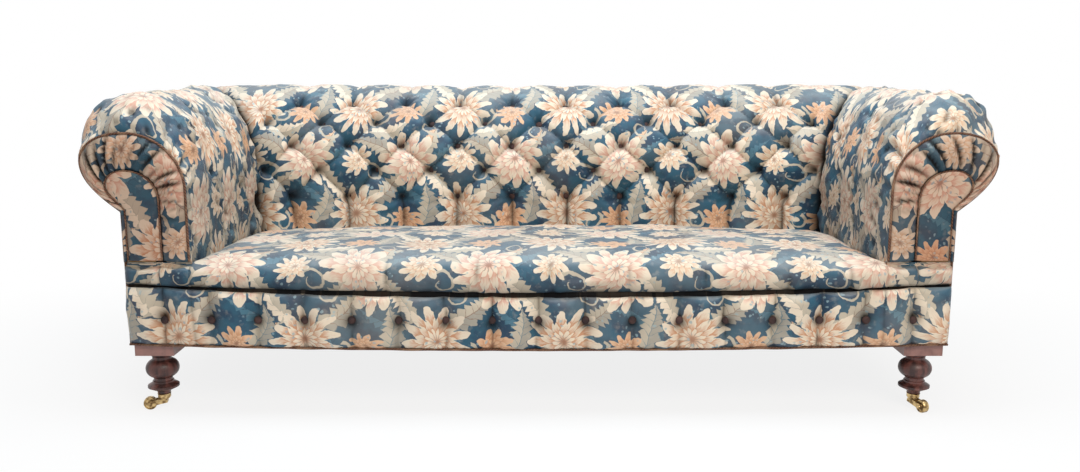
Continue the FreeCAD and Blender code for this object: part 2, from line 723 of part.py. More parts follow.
def end_quads(side):
    """The patches between the last buttons of the rows and the mitre with an arm."""
    wide_x, short_x = side * WIDE_HALF * pitch, side * (WIDE_HALF - 0.5) * pitch
    crest = surface.crest
    low, mid, high = row_at[1], row_at[2], row_at[3]
    tuck = MITRE_TUCK

    def middle_x(x):
        return side * (abs(x) + dim["seat_half"]) / 2

    foot = quad(side, [(wide_x, 0, FOOT_CROWN), (EDGE, 0, tuck), (EDGE, low, tuck), (wide_x, low, DEPTH)],
                [(middle_x(wide_x), 0, tuck / 2), (EDGE, low / 2, tuck),
                 (middle_x(wide_x), low, DEPTH / 2), (wide_x, low / 2, STRIP_CROWN)],
                (middle_x(wide_x), low / 2, tuck / 3))
    quads = [foot]
    for wide in (low, high):
        between = (mid + wide) / 2
        corners = [(short_x, mid, DEPTH), (wide_x, wide, DEPTH), (EDGE, wide, tuck), (EDGE, mid, tuck)]
        middles = [((short_x + wide_x) / 2, between, PLEAT), (middle_x(wide_x), wide, DEPTH / 2),
                   (EDGE, between, tuck), (middle_x(short_x), mid, CROWN / 2)]
        quads.append(quad(side, corners, middles, (middle_x((short_x + wide_x) / 2), between, 0)))
    high_middle = (high + crest) / 2
    rise = surface.at(side, EDGE, high_middle, tuck).x
    top_x = surface.at(side, EDGE, crest, 0).x
    quads.append(quad(side, [(wide_x, high, DEPTH), (EDGE, high, tuck), (EDGE, crest, 0), (wide_x, crest, 0)],
                      [(middle_x(wide_x), high, DEPTH / 2), (EDGE, high_middle, tuck / 2),
                       ((wide_x + top_x) / 2, crest, 0), (wide_x, high_middle, TOP_CROWN)],
                      ((wide_x + rise) / 2, high_middle, TOP_CROWN)))
    return quads


faces = []
for row in range(1, ROW_COUNT - 1):
    for x in button_columns(row + 1):
        if abs(x) < (WIDE_HALF - 0.25) * pitch:
            faces.append(diamond(x, row))
for x in button_columns(1):
    for half in (-pitch / 2, pitch / 2):
        if abs(x + half) < WIDE_HALF * pitch:
            faces.append(strip(x, half, 0, (FOOT_PLEAT, FOOT_CROWN, STRIP_PLEAT, STRIP_CROWN), (0, 1)))
            faces.append(strip(x, half, surface.crest, (0, 0, STRIP_PLEAT / 2, TOP_CROWN), (4, 3)))
for side in (LEFT, RIGHT):
    faces += end_quads(side)


def rolled_face(run):
    """A plain stretch of the back between the two mitres."""
    ends = [edge_through([mitre_point(side, p) for p in run]) for side in (LEFT, RIGHT)]
    return Part.makeRuledSurface(*ends)


plain_runs = back_roll.outer(dim["pad_bottom"])[2:] + back_roll.inner(dim["pad_bottom"])
plain_faces = [rolled_face(run) for run in plain_runs]
open_shell = Part.makeShell(faces + plain_faces)
open_shell.sewShape()


def lies_on(edge, test):
    return all(test(point) for point in edge.discretize(5))


def free_edges(shell, test):
    """The edges of a shell that only one face has and whose points all pass a test."""
    free = [edge for edge in shell.Edges if len(shell.ancestorsOfType(edge, Part.Face)) == 1]
    return [edge for edge in free if lies_on(edge, test)]


def on_mitre(side):
    return lambda p: abs(side * p.x - dim["seat_half"] - (p.y - dim["back_face"]) * mitre) < 0.01


foot_edges = [line(mitre_point(side, (-MITRE_TUCK, dim["pad_bottom"])),
                   mitre_point(side, (dim["back_wall"], dim["pad_bottom"]))) for side in (LEFT, RIGHT)]
caps = []
for foot_edge, test in zip(foot_edges, (on_mitre(LEFT), on_mitre(RIGHT))):
    ring = free_edges(open_shell, test) + [foot_edge]
    caps.append(Part.Face(Part.Wire(Part.__sortEdges__(ring))))
bottom_ring = free_edges(open_shell, lambda p: abs(p.z - dim["pad_bottom"]) < 0.01) + foot_edges
caps.append(Part.Face(Part.Wire(Part.__sortEdges__(bottom_ring))))
add_shape("back_pad", closed_solid(open_shell.Faces + caps))

# Covered buttons, domed, drawn into the padding

BUTTON_DOME = 4.0
BUTTON_LIFT = 5.0


def covered_button(place, outward):
    """A domed button with its flat face toward the padding."""
    radius = dim["button_radius"]
    ball = (radius * radius + BUTTON_DOME * BUTTON_DOME) / (2 * BUTTON_DOME)
    start = math.degrees(math.asin((ball - BUTTON_DOME) / ball))
    dome = Part.makeSphere(ball, Vector(), Vector(0, 0, 1), start, 90, 360)
    dome.translate(Vector(0, 0, BUTTON_DOME - ball))
    dome.Placement = Placement(place, Rotation(Vector(0, 0, 1), outward)).multiply(dome.Placement)
    return dome


buttons = []
for row in range(ROW_COUNT):
    for x in button_columns(row):
        deep = surface.at(RIGHT, x, row_at[row], DEPTH)
        outward = surface.at(RIGHT, x, row_at[row], 0) - deep
        buttons.append(covered_button(deep + outward.normalize() * BUTTON_LIFT, outward))
add_shape("back_buttons", Part.makeCompound(buttons))

# Front border: bays of padding between buttons, in two rows of patches

BORDER_CROWN = 18.0
BORDER_BUTTON = 6.0
BORDER_PLEAT = 9.0
BORDER_EDGE = 12.0
BORDER_EDGE_PLEAT = 8.0
BORDER_LAST = 8
border_middle = (dim["base_bottom"] + dim["border_top"]) / 2


def border_point(x, z, proud):
    return Vector(x, dim["frame_front"] - proud, z)


def border_patch(x_low, x_high, edge_z, pleats):
    """Half a bay: from the border's edge to the line of buttons, with a pleat or a plain side at each end."""
    x_mid, z_mid = (x_low + x_high) / 2, (edge_z + border_middle) / 2
    pleat_line = (BORDER_EDGE_PLEAT, BORDER_PLEAT, BORDER_BUTTON)
    side_line = (BORDER_EDGE_PLEAT, BORDER_EDGE, BORDER_EDGE)
    crown_line = (BORDER_EDGE, BORDER_CROWN - 1, BORDER_CROWN)
    ends = [pleat_line if pleat else side_line for pleat in pleats]
    columns = ((x_low, ends[0]), (x_mid, crown_line), (x_high, ends[1]))
    return patch([[border_point(x, z, proud[number]) for x, proud in columns]
                  for number, z in enumerate((edge_z, z_mid, border_middle))])


border_stops = [number * dim["border_pitch"] for number in range(-BORDER_LAST, BORDER_LAST + 1)]
stops = [-dim["base_half"]] + border_stops + [dim["base_half"]]
border_faces = []
for first, second in zip(stops, stops[1:]):
    pleats = (abs(first) < dim["base_half"], abs(second) < dim["base_half"])
    for edge_z in (dim["base_bottom"], dim["border_top"]):
        border_faces.append(border_patch(first, second, edge_z, pleats))
border_shell = Part.makeShell(border_faces)
border_shell.sewShape()
half, low, high = dim["base_half"], dim["base_bottom"], dim["border_top"]
flat = [border_point(x, z, 0) for x, z in ((-half, low), (half, low), (half, high), (-half, high))]
border_caps = [Part.Face(Part.makePolygon(flat + flat[:1]))]
border_sides = [(lambda p: abs(p.z - low) < 0.01, (0, 1)), (lambda p: abs(p.z - high) < 0.01, (3, 2)),
                (lambda p: abs(p.x + half) < 0.01, (0, 3)), (lambda p: abs(p.x - half) < 0.01, (1, 2))]
for test, back_line in border_sides:
    front_edges = Part.__sortEdges__(free_edges(border_shell, test))
    front_wire = Part.Wire(front_edges)
    starts, finish = front_wire.OrderedVertexes[0].Point, front_wire.OrderedVertexes[-1].Point
    corners_back = sorted((flat[back_line[0]], flat[back_line[1]]), key=lambda p: p.distanceToPoint(starts))
    ring = front_edges + [line(finish, corners_back[1]), line(corners_back[1], corners_back[0]),
                          line(corners_back[0], starts)]
    border_caps.append(Part.Face(Part.Wire(Part.__sortEdges__(ring))))
add_shape("front_border_pad", closed_solid(border_shell.Faces + border_caps))
border_seat = BORDER_BUTTON + BUTTON_LIFT / 2
border_buttons = [covered_button(border_point(x, border_middle, border_seat), Vector(0, -1, 0))
                  for x in border_stops]
add_shape("border_buttons", Part.makeCompound(border_buttons))

# Seat padding: one crowned piece with a rolled lip over the front rail

SEAT_GAP = 3
SEAT_REAR_GAP = 9
LIP_BACK = 14
LIP_NOSE = 32


def seat_section(x):
    """The seat's section at X, higher in the middle than beside the arms."""
    lift = dim["seat_crown"] * (1 - (x / dim["seat_half"]) ** 2)
    front, rear, under = dim["lip_front"], dim["back_face"] - SEAT_REAR_GAP, dim["seat_bottom"]
    top_front, top_rear = dim["seat_front_top"] + lift, dim["seat_rear_top"] + lift

    def at(y, z):
        return Vector(x, y, z)
    nose = under + LIP_NOSE
    low_lip = [at(front + LIP_BACK, under), at(front, under + 4), at(front, nose - 14), at(front, nose)]
    high_lip = [at(front, nose), at(front, top_front - 12),
                at(front + 24, top_front), at(front + 76, top_front)]
    top = [high_lip[-1], at(front + 200, top_front), at(rear - 200, top_rear + 22), at(rear, top_rear)]
    return Part.Wire([line(at(rear, under), low_lip[0]), bezier(low_lip), bezier(high_lip), bezier(top),
                      line(top[-1], at(rear, under))])


seat_end = dim["seat_half"] - SEAT_GAP
seat_stations = [-seat_end, -seat_end / 2, 0, seat_end / 2, seat_end]
add_shape("seat_pad", Part.makeLoft([seat_section(x) for x in seat_stations], True, False))

# Lip ends under the arm fronts

LIP_END_PROUD = 16
LIP_END_ROUND = 7
lip_ends = []
for side in (LEFT, RIGHT):
    span = sorted((side * (dim["seat_half"] - 1), side * dim["base_half"]))
    block = Part.makeBox(span[1] - span[0], LIP_END_PROUD, dim["facing_bottom"] - 1 - dim["seat_bottom"],
                         Vector(span[0], dim["frame_front"] - LIP_END_PROUD, dim["seat_bottom"]))
    front_edges = [edge for edge in block.Edges
                   if lies_on(edge, lambda p: abs(p.y - dim["frame_front"] + LIP_END_PROUD) < 0.01)
                   and edge.BoundBox.XLength > 1]
    lip_ends.append(block.makeFillet(LIP_END_ROUND, front_edges))
add_shape("lip_end_pads", Part.makeCompound(lip_ends))

# Arm fronts: facing, piping round it and the tongue-shaped panel on it

facing_front = dim["frame_front"] - dim["facing_thick"]
PANEL_THICK = 5
PANEL_NEAR = 62
PANEL_FAR = dim["base_half"] - dim["seat_half"] - 10
PANEL_REACH = 186
PANEL_CREST = 602
PANEL_TOP_RUN = 138


def facing_edges(side, depth, inset):
    """The arm front's outline, drawn in by an inset."""
    bottom = dim["facing_bottom"] + inset
    runs = facing_roll.outer(bottom, inset)
    tack = runs[-1][-1]
    runs += [[tack, (tack[0], bottom)], [(tack[0], bottom), (inset, bottom)]]
    return [edge_through([arm_point(side, depth, p) for p in run]) for run in runs]


def panel_edges(side, depth):
    """The tongue: a straight stem with a round head that leans out under the roll."""
    low = dim["facing_bottom"] + dim["piping_thick"] + 1
    neck, shoulder = PANEL_CREST - 72, PANEL_CREST - 36
    top, waist = (PANEL_TOP_RUN, PANEL_CREST), (PANEL_FAR, facing_roll.tack + 4)
    runs = [[(PANEL_NEAR, low), (PANEL_NEAR, neck)],
            [(PANEL_NEAR, neck), (PANEL_NEAR, neck + 46), (PANEL_TOP_RUN - 40, PANEL_CREST), top],
            [top, (PANEL_TOP_RUN + 32, PANEL_CREST), (PANEL_REACH, shoulder + 20), (PANEL_REACH, shoulder)],
            [(PANEL_REACH, shoulder), (PANEL_REACH, shoulder - 24), (waist[0] + 12, waist[1] + 18), waist],
            [waist, (PANEL_FAR, low)],
            [(PANEL_FAR, low), (PANEL_NEAR, low)]]
    return [edge_through([arm_point(side, depth, p) for p in run]) for run in runs]


pipings = []
for side in (LEFT, RIGHT):
    name = SIDE_NAME[side]
    add_shape(name + "_arm_facing",
              prism(facing_edges(side, dim["frame_front"], 0), Vector(0, -dim["facing_thick"], 0)))
    add_shape(name + "_front_panel", prism(panel_edges(side, facing_front), Vector(0, -PANEL_THICK, 0)))
    outside = prism(facing_edges(side, facing_front, 0), Vector(0, -dim["piping_thick"], 0))
    inside = prism(facing_edges(side, facing_front, dim["piping_thick"]), Vector(0, -dim["piping_thick"], 0))
    pipings.append(outside.cut(inside))
add_shape("facing_piping", Part.makeCompound(pipings))

# Outside covers, bottom cloth and gimp

keep(add_box("outside_back", ("-base_half", "base_half"), ("base_back - cover_board", "base_back"),
             ("base_bottom", "back_tack - 1")), "outside_back")
for side in (LEFT, RIGHT):
    label = SIDE_NAME[side] + "_outside_arm"
    keep(add_box(label, side_span(side, "base_half - cover_board", "base_half"),
                 ("frame_front", "base_back - cover_board"), ("base_bottom", "arm_tack - 1")), label)

cloth = add_box("cloth_sheet", ("-base_half + 4", "base_half - 4"), ("frame_front + 1", "base_back - 2"),
                ("base_bottom - 2.5", "base_bottom - 0.5"))
leg_rooms = []
for corner, (side, leg_y) in LEG_SITES.items():
    leg_rooms.append(add_box(corner + "_room", side_span(side, BLOCK_NEAR + " - 1", BLOCK_FAR + " + 1"),
                             (leg_y + " - leg_square / 2 - 1", leg_y + " + leg_square / 2 + 1"),
                             ("base_bottom - 10", "base_bottom + 10")))
keep(cut("bottom_cloth", cloth, leg_rooms), "bottom_cloth")
keep(add_box("base_gimp", ("-base_half", "base_half"), ("frame_front - 13", "frame_front - 0.5"),
             ("base_bottom - 4", "base_bottom")), "base_gimp")

# Legs: a square block with a turned foot, and the castor socket on it

TURNING = [(27, 149), (27, 141), (23, 136), (23, 130), (26, 127)]
BULB = [(26, 127), (40, 106), (26, 85)]
BELOW_BULB = [(26, 85), (22.5, 82), (22.5, 74), (25.5, 74), (25.5, 70), (37.5, 63), (37.5, 58), (20, 49),
              (17, 47), (14.5, 40.5), (13, 40.5), (13, 31)]


def body_plane(body, role):
    return next(plane for plane in body.Origin.OriginFeatures if plane.Role == role)


def add_leg(corner, side, y_formula):
    """A leg as a body: the block is padded from a square, the foot is turned from a half outline."""
    body = doc.addObject("PartDesign::Body", corner + "_leg_body")
    square = body.newObject("Sketcher::SketchObject", corner + "_square")
    square.AttachmentSupport = (body_plane(body, "XY_Plane"), [""])
    square.MapMode = "FlatFace"
    half_side = dim["leg_square"] / 2
    marks = [Vector(-half_side, -half_side, 0), Vector(half_side, -half_side, 0),
             Vector(half_side, half_side, 0), Vector(-half_side, half_side, 0)]
    for first, second in zip(marks, marks[1:] + marks[:1]):
        square.addGeometry(Part.LineSegment(first, second), False)
    bind(square, "AttachmentOffset.Base.z", "leg_block_bottom")
    block = body.newObject("PartDesign::Pad", corner + "_block")
    block.Profile = square
    bind(block, "Length", "rail_top - leg_block_bottom")
    outline = body.newObject("Sketcher::SketchObject", corner + "_turning")
    outline.AttachmentSupport = (body_plane(body, "XZ_Plane"), [""])
    outline.MapMode = "FlatFace"
    axis_top, axis_foot = (0, TURNING[0][1] + 6), (0, BELOW_BULB[-1][1])
    straight = [axis_top, (TURNING[0][0], axis_top[1])] + TURNING
    lower = BELOW_BULB + [axis_foot, axis_top]
    for stretch in (straight, lower):
        for first, second in zip(stretch, stretch[1:]):
            outline.addGeometry(Part.LineSegment(Vector(*first, 0), Vector(*second, 0)), False)
    outline.addGeometry(Part.Arc(*[Vector(*point, 0) for point in BULB]), False)
    foot = body.newObject("PartDesign::Revolution", corner + "_foot")
    foot.Profile = outline
    foot.ReferenceAxis = (outline, ["V_Axis"])
    foot.Angle = 360
    bind(body, "Placement.Base.x", ("%s + leg_square / 2" % BLOCK_NEAR) if side == RIGHT
         else "-(%s + leg_square / 2)" % BLOCK_NEAR)
    bind(body, "Placement.Base.y", y_formula)
    mortises = leg_tenons[corner] + ([stump_tenons[side]] if corner.startswith("front") else [])
    return keep(cut(corner + "_leg", body, mortises), corner + "_leg")


for corner, (side, y_formula) in LEG_SITES.items():
    add_leg(corner, side, y_formula)
doc.recompute()

# Castors: socket and pivot pin on the leg, horn that swivels, axle and wheel

CASTOR_TURN = {"front_left": 192, "front_right": -68, "rear_left": 118, "rear_right": 35}
HORN_CHEEK = 3
CHEEK_IN = dim["wheel_half"] + 0.3
BOSS = 6.5
PIN_HEAD = (6.5, 3.2)
SOCKET_WALL_GAP = 0.2


def socket():
    """A turned brass cup round the leg's end, with the pivot pin under it."""
    pin, low, top = dim["pivot_radius"], dim["socket_bottom"], dim["socket_top"]
    cup_inside = BELOW_BULB[-1][0] + SOCKET_WALL_GAP
    head_radius, head_high = PIN_HEAD
    head_top = dim["horn_under"] - 0.3
    return turned([(0, head_top - head_high), (head_radius - 1.5, head_top - head_high),
                   (head_radius, head_top - 1.2), (head_radius, head_top), (pin, head_top), (pin, low),
                   (13, low), (15.5, low + 4),
                   (15.5, top - 2), (16.5, top), (cup_inside, top), (cup_inside, dim["leg_foot"] - 0.1),
                   (0, dim["leg_foot"] - 0.1)])


def horn():
    """The swivelling fork: a hub round the pin, and a cheek on either side of the wheel."""
    trail, wheel, low, top = dim["trail"], dim["wheel_radius"], dim["horn_under"], dim["horn_top"]
    width = CHEEK_IN + HORN_CHEEK

    def at(x, z):
        return Vector(x, -width, z)
    over = math.radians(76)
    boss = [at(trail + BOSS * math.cos(angle), wheel + BOSS * math.sin(angle))
            for angle in (over, over - math.pi / 2, over - math.pi)]
    edges = [line(at(-8, low), at(-8, top - 2)), line(at(-8, top - 2), at(-5, top)),
             line(at(-5, top), at(8, top)), line(at(8, top), boss[0]),
             Part.Arc(*boss).toShape(), line(boss[2], at(-8, low))]
    cheeks = prism(edges, Vector(0, 2 * width, 0))
    throat = Part.makeBox(trail + wheel, 2 * CHEEK_IN, top + 10, Vector(9.5, -CHEEK_IN, 0))
    below = Part.makeBox(trail + wheel, 2 * CHEEK_IN, low, Vector(-10, -CHEEK_IN, 0))
    bore = Part.makeCylinder(dim["pivot_radius"] + dim["running_gap"], top, Vector(0, 0, 0))
    axle_hole = Part.makeCylinder(dim["axle_radius"] + dim["running_gap"], 4 * width,
                                  Vector(trail, -2 * width, wheel), Vector(0, 1, 0))
    return cheeks.cut(throat).cut(below).cut(bore).cut(axle_hole)


def axle():
    """The riveted axle, with a head outside each cheek."""
    half = CHEEK_IN + HORN_CHEEK + 0.1
    radius = dim["axle_radius"]
    pin = turned([(0, -half - 1.6), (radius + 0.6, -half - 1.6), (radius + 1.6, -half), (radius, -half),
                  (radius, half), (radius + 1.6, half), (radius + 0.6, half + 1.6), (0, half + 1.6)])
    pin.Placement = Placement(Vector(dim["trail"], 0, dim["wheel_radius"]), Rotation(Vector(1, 0, 0), 90))
    return pin


def wheel():
    """A brass wheel: a hub, dished sides and a tread with eased corners."""
    rim, hub = dim["wheel_radius"], dim["wheel_half"]
    bore = dim["axle_radius"] + dim["running_gap"]
    half_outline = [(bore, hub), (5.6, hub), (6.4, hub - 2.4), (12.2, hub - 2.4), (13.2, hub - 0.8),
                    (15.2, hub - 1.2), (rim, hub - 3)]
    outline = half_outline + [(radius, -level) for radius, level in reversed(half_outline)]
    solid = turned(outline)
    solid.Placement = Placement(Vector(dim["trail"], 0, dim["wheel_radius"]), Rotation(Vector(1, 0, 0), 90))
    return solid


sockets = []
for corner, (side, _) in LEG_SITES.items():
    leg = doc.getObject(corner + "_leg_body")
    stand = Placement(Vector(leg.Placement.Base.x, leg.Placement.Base.y, 0),
                      Rotation(Vector(0, 0, 1), CASTOR_TURN[corner]))
    for piece, shape in (("horn", horn()), ("axle", axle()), ("wheel", wheel())):
        add_shape("%s_%s" % (corner, piece), shape, stand.multiply(shape.Placement))
    cup = socket()
    cup.Placement = stand
    sockets.append(cup)
add_shape("castor_sockets", Part.makeCompound(sockets))

# Check every object, then write each sub-part to its own file

doc.recompute()
for item in doc.Objects:
    if "Invalid" in item.State or "Error" in item.State:
        raise RuntimeError("%s did not recompute: %s" % (item.Label, item.State))
os.makedirs("parts", exist_ok=True)
for item in sub_parts:
    if item.Shape.isNull() or not item.Shape.isValid() or not item.Shape.Solids:
        raise RuntimeError("%s has no valid solid" % item.Label)
    item.Shape.exportStep("parts/%s.step" % item.Label)
print("%d sub-parts written" % len(sub_parts))
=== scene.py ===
"""A deep-buttoned scroll-arm sofa in printed cotton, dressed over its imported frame."""
from __future__ import annotations

import logging
import math
from dataclasses import dataclass
from enum import Enum
from typing import Sequence, Union

import bmesh
import bpy
import numpy as np
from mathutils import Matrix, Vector

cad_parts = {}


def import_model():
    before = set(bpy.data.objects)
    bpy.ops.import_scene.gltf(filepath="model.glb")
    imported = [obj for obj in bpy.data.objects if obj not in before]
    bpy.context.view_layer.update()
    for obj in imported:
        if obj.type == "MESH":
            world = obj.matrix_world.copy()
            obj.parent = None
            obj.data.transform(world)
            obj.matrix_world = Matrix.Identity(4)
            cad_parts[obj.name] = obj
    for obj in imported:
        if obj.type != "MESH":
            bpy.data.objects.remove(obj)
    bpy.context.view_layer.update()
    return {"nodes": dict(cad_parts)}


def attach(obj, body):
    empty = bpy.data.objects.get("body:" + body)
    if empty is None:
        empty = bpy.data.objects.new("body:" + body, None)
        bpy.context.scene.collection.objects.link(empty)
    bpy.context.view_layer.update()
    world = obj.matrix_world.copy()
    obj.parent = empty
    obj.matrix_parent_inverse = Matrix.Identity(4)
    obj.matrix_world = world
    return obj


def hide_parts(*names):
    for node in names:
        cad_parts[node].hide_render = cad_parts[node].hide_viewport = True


LOG = logging.getLogger("sofa")
BODY = "sofa"
Socket = bpy.types.NodeSocket
Feed = Union[Socket, float, Sequence[float]]
Colour = tuple[float, float, float]

# Every so many points of a cover there is one in the lining behind it
LINING = 8


class Side(Enum):
    """The two ends of the sofa, by the sign of X."""

    LEFT = -1
    RIGHT = 1

    @property
    def word(self) -> str:
        """The side's name as it stands in the node names."""
        return self.name.lower()


class Slot(Enum):
    """The record's material slots, one for each kind of finish that the dressed pieces wear."""

    PRINT = "printed_cotton"
    TRIM = "trim_cord"
    DUST = "bottom_cloth"


def linear(red: int, green: int, blue: int) -> Colour:
    """A colour given in display values from 0 to 255, as light values."""
    shares = [value / 255 for value in (red, green, blue)]
    return tuple(s / 12.92 if s <= 0.04045 else ((s + 0.055) / 1.055) ** 2.4 for s in shares)


def smooth_step(value: np.ndarray, low: float, high: float) -> np.ndarray:
    """0 below low, 1 above high, and an even S between them."""
    share = np.clip((value - low) / (high - low), 0.0, 1.0)
    return share * share * (3.0 - 2.0 * share)


@dataclass(frozen=True)
class Ripple:
    """A made-up unevenness of cloth: a few sine waves of seeded direction, length and phase."""

    seed: int
    wavelength: float
    waves: int = 7
    stretch: tuple[float, float] = (1.0, 1.0)

    def at(self, u: np.ndarray, v: np.ndarray) -> np.ndarray:
        """The unevenness at places on the cloth.

        Args:
            u: First coordinate in metres.
            v: Second coordinate in metres.

        Returns:
            Values of about one in size.
        """
        chance = np.random.default_rng(self.seed)
        total = np.zeros(np.broadcast(u, v).shape)
        for _ in range(self.waves):
            angle = chance.uniform(0, 2 * math.pi)
            rate = 2 * math.pi / (self.wavelength * chance.uniform(0.7, 1.5))
            across = u * math.cos(angle) / self.stretch[0] + v * math.sin(angle) / self.stretch[1]
            total = total + np.sin(rate * across + chance.uniform(0, 2 * math.pi))
        return total / math.sqrt(self.waves)


def bezier(points: Sequence[tuple[float, float]], count: int) -> np.ndarray:
    """Points along a straight line or a cubic curve.

    Args:
        points: Two ends, or four control points.
        count: How many steps the curve is cut into.

    Returns:
        The places after each step, without the first end.
    """
    control = np.array(points, dtype=float)
    share = (np.arange(1, count + 1) / count)[:, None]
    if len(control) == 2:
        return control[0] + (control[1] - control[0]) * share
    rest = 1 - share
    weights = (rest ** 3, 3 * rest * rest * share, 3 * rest * share * share, share ** 3)
    return sum(weight * point for weight, point in zip(weights, control))


@dataclass(frozen=True)
class Scroll:
    """A scrolled section of padding: run from its inner face and height, in metres."""

    reach: float
    tack_run: float
    crest_run: float
    crest: float
    roll: float
    tack: float
    spring: float
    wall: float

    def curves(self, bottom: float) -> list[list[tuple[float, float]]]:
        """The face, then the curves over the crest, down to the outermost line and under it.

        Args:
            bottom: Height of the face's lower edge.

        Returns:
            Control points of the four curves.
        """
        past, rise = self.reach - self.crest_run, self.crest - self.spring
        drop, fall = self.crest - self.roll, self.roll - self.tack
        overhang = self.reach - self.tack_run
        over = [(0.0, self.spring), (0.0, self.spring + 0.55 * rise),
                (0.43 * self.crest_run, self.crest), (self.crest_run, self.crest)]
        down = [over[-1], (self.crest_run + 0.58 * past, self.crest),
                (self.reach, self.roll + 0.62 * drop), (self.reach, self.roll)]
        under = [down[-1], (self.reach, self.roll - 0.42 * fall),
                 (self.tack_run + 0.39 * overhang, self.tack + 0.23 * fall), (self.tack_run, self.tack)]
        return [[(0.0, bottom), over[0]], over, down, under]

    def outline(self, bottom: float, counts: Sequence[int]) -> np.ndarray:
        """The outside from the lower edge of the face to the tack line.

        Args:
            bottom: Height of the face's lower edge.
            counts: Steps along each of the four curves.

        Returns:
            An array of (run, height).
        """
        parts = [bezier(curve, count) for curve, count in zip(self.curves(bottom), counts)]
        return np.vstack([np.array([[0.0, bottom]])] + parts)

    def lining(self, outline: np.ndarray) -> np.ndarray:
        """A plain inner wall behind an outline, drawn toward the middle of the roll.

        Args:
            outline: Points of the outside.

        Returns:
            As many points, inside the padding.
        """
        heart = np.array([self.crest_run, self.roll - 0.01])
        drawn = outline + (heart - outline) * 0.42
        straight = np.column_stack([outline[:, 0] + self.wall * 0.7, outline[:, 1]])
        low = 1 - smooth_step(outline[:, 1], self.spring - 0.02, self.spring + 0.08)
        face = (low * (outline[:, 0] < self.wall))[:, None]
        return straight * face + drawn * (1 - face)


# Lines of the frame that the padding follows, in metres from the floor under the middle of the sofa
SEAT_HALF = 0.835
BASE_HALF = 0.988
BACK_FACE = 0.168
BASE_BACK = 0.333
FRAME_FRONT = -0.448
PAD_BOTTOM = 0.320
BASE_BOTTOM = 0.178
ARM_SCROLL = Scroll(reach=0.280, tack_run=0.153, crest_run=0.150, crest=0.776,
                    roll=0.650, tack=0.505, spring=0.560, wall=0.079)
FACING_SCROLL = Scroll(reach=0.243, tack_run=0.153, crest_run=0.138, crest=0.690,
                       roll=0.622, tack=0.505, spring=0.555, wall=0.079)
BACK_SCROLL = Scroll(reach=0.302, tack_run=0.165, crest_run=0.217, crest=0.772,
                     roll=0.698, tack=0.520, spring=0.532, wall=0.085)
# How much faster the mitre between arm and back runs outward than backward
MITRE = ARM_SCROLL.reach / BACK_SCROLL.reach


def lip_line(x: np.ndarray) -> np.ndarray:
    """How much higher the joint of seat lip and border lies toward the arms than in the middle."""
    return 0.019 * (x / BASE_HALF) ** 2


def lip_shade(v: np.ndarray, crevice: float) -> np.ndarray:
    """Crease values up a lip: black in the crevice under it, and dim on its lower half."""
    black = np.exp(-v / crevice)
    return black + 0.36 * (1 - smooth_step(v, 0.02, 0.08)) * (1 - black)


def grid_normals(grid: np.ndarray) -> np.ndarray:
    """Unit normals of a grid of points, by the steps along its rows and columns."""
    normal = np.cross(np.gradient(grid, axis=0), np.gradient(grid, axis=1))
    return normal / np.maximum(np.linalg.norm(normal, axis=2, keepdims=True), 1e-12)


def run_lengths(points: np.ndarray) -> np.ndarray:
    """How far each point of a line is along it."""
    return np.concatenate([[0.0], np.cumsum(np.linalg.norm(np.diff(points, axis=0), axis=1))])


def evenly(points: np.ndarray, count: int) -> np.ndarray:
    """A line's points set at even distances.

    Args:
        points: The line as it was drawn.
        count: How many points to give back.

    Returns:
        The points at even distances along it.
    """
    lengths = run_lengths(points)
    marks = np.linspace(0, lengths[-1], count)
    return np.column_stack([np.interp(marks, lengths, points[:, axis]) for axis in range(points.shape[1])])


def grid_faces(index: np.ndarray) -> list[list[int]]:
    """The four-cornered faces of a grid of point numbers."""
    quads = np.stack([index[:-1, :-1], index[1:, :-1], index[1:, 1:], index[:-1, 1:]], axis=-1)
    return quads.reshape(-1, 4).tolist()


def rim_faces(outer: np.ndarray, inner: np.ndarray) -> list[list[int]]:
    """The faces that close the edge between a fine grid and a coarser one behind it.

    Args:
        outer: Point numbers of the fine grid.
        inner: Point numbers of the coarse grid.

    Returns:
        One face for each edge of the coarse grid's rim.
    """
    faces = []
    rims = ((outer[0], inner[0]), (outer[-1], inner[-1]),
            (outer[:, 0], inner[:, 0]), (outer[:, -1], inner[:, -1]))
    for fine, coarse in rims:
        for number in range(len(coarse) - 1):
            front = fine[number * LINING:(number + 1) * LINING + 1].tolist()
            faces.append(front + [int(coarse[number + 1]), int(coarse[number])])
    return faces


def new_object(name: str, points: np.ndarray, faces: list[list[int]], uv: np.ndarray,
               crease: np.ndarray) -> bpy.types.Object:
    """A smooth mesh object with a cloth map in metres and a crease value at each point.

    Args:
        name: The piece's name.
        points: Places of the points.
        faces: Point numbers of each face.
        uv: Cloth coordinates of the points, in metres.
        crease: From 0 on open cloth to 1 deep in a fold; the cloth's material darkens by it as painted shade.

    Returns:
        The object, in the scene.
    """
    mesh = bpy.data.meshes.new(name)
    mesh.from_pydata(points.tolist(), [], faces)
    shaped = bmesh.new()
    shaped.from_mesh(mesh)
    bmesh.ops.recalc_face_normals(shaped, faces=shaped.faces)
    shaped.to_mesh(mesh)
    shaped.free()
    corners = np.empty(len(mesh.loops), dtype=np.int32)
    mesh.loops.foreach_get("vertex_index", corners)
    layer = mesh.uv_layers.new(name="cloth")
    layer.data.foreach_set("uv", uv[corners].astype(np.float32).ravel())
    mesh.attributes.new("crease", "FLOAT", "POINT").data.foreach_set("value", crease.astype(np.float32))
    mesh.shade_smooth()
    piece = bpy.data.objects.new(name, mesh)
    bpy.context.collection.objects.link(piece)
    return piece


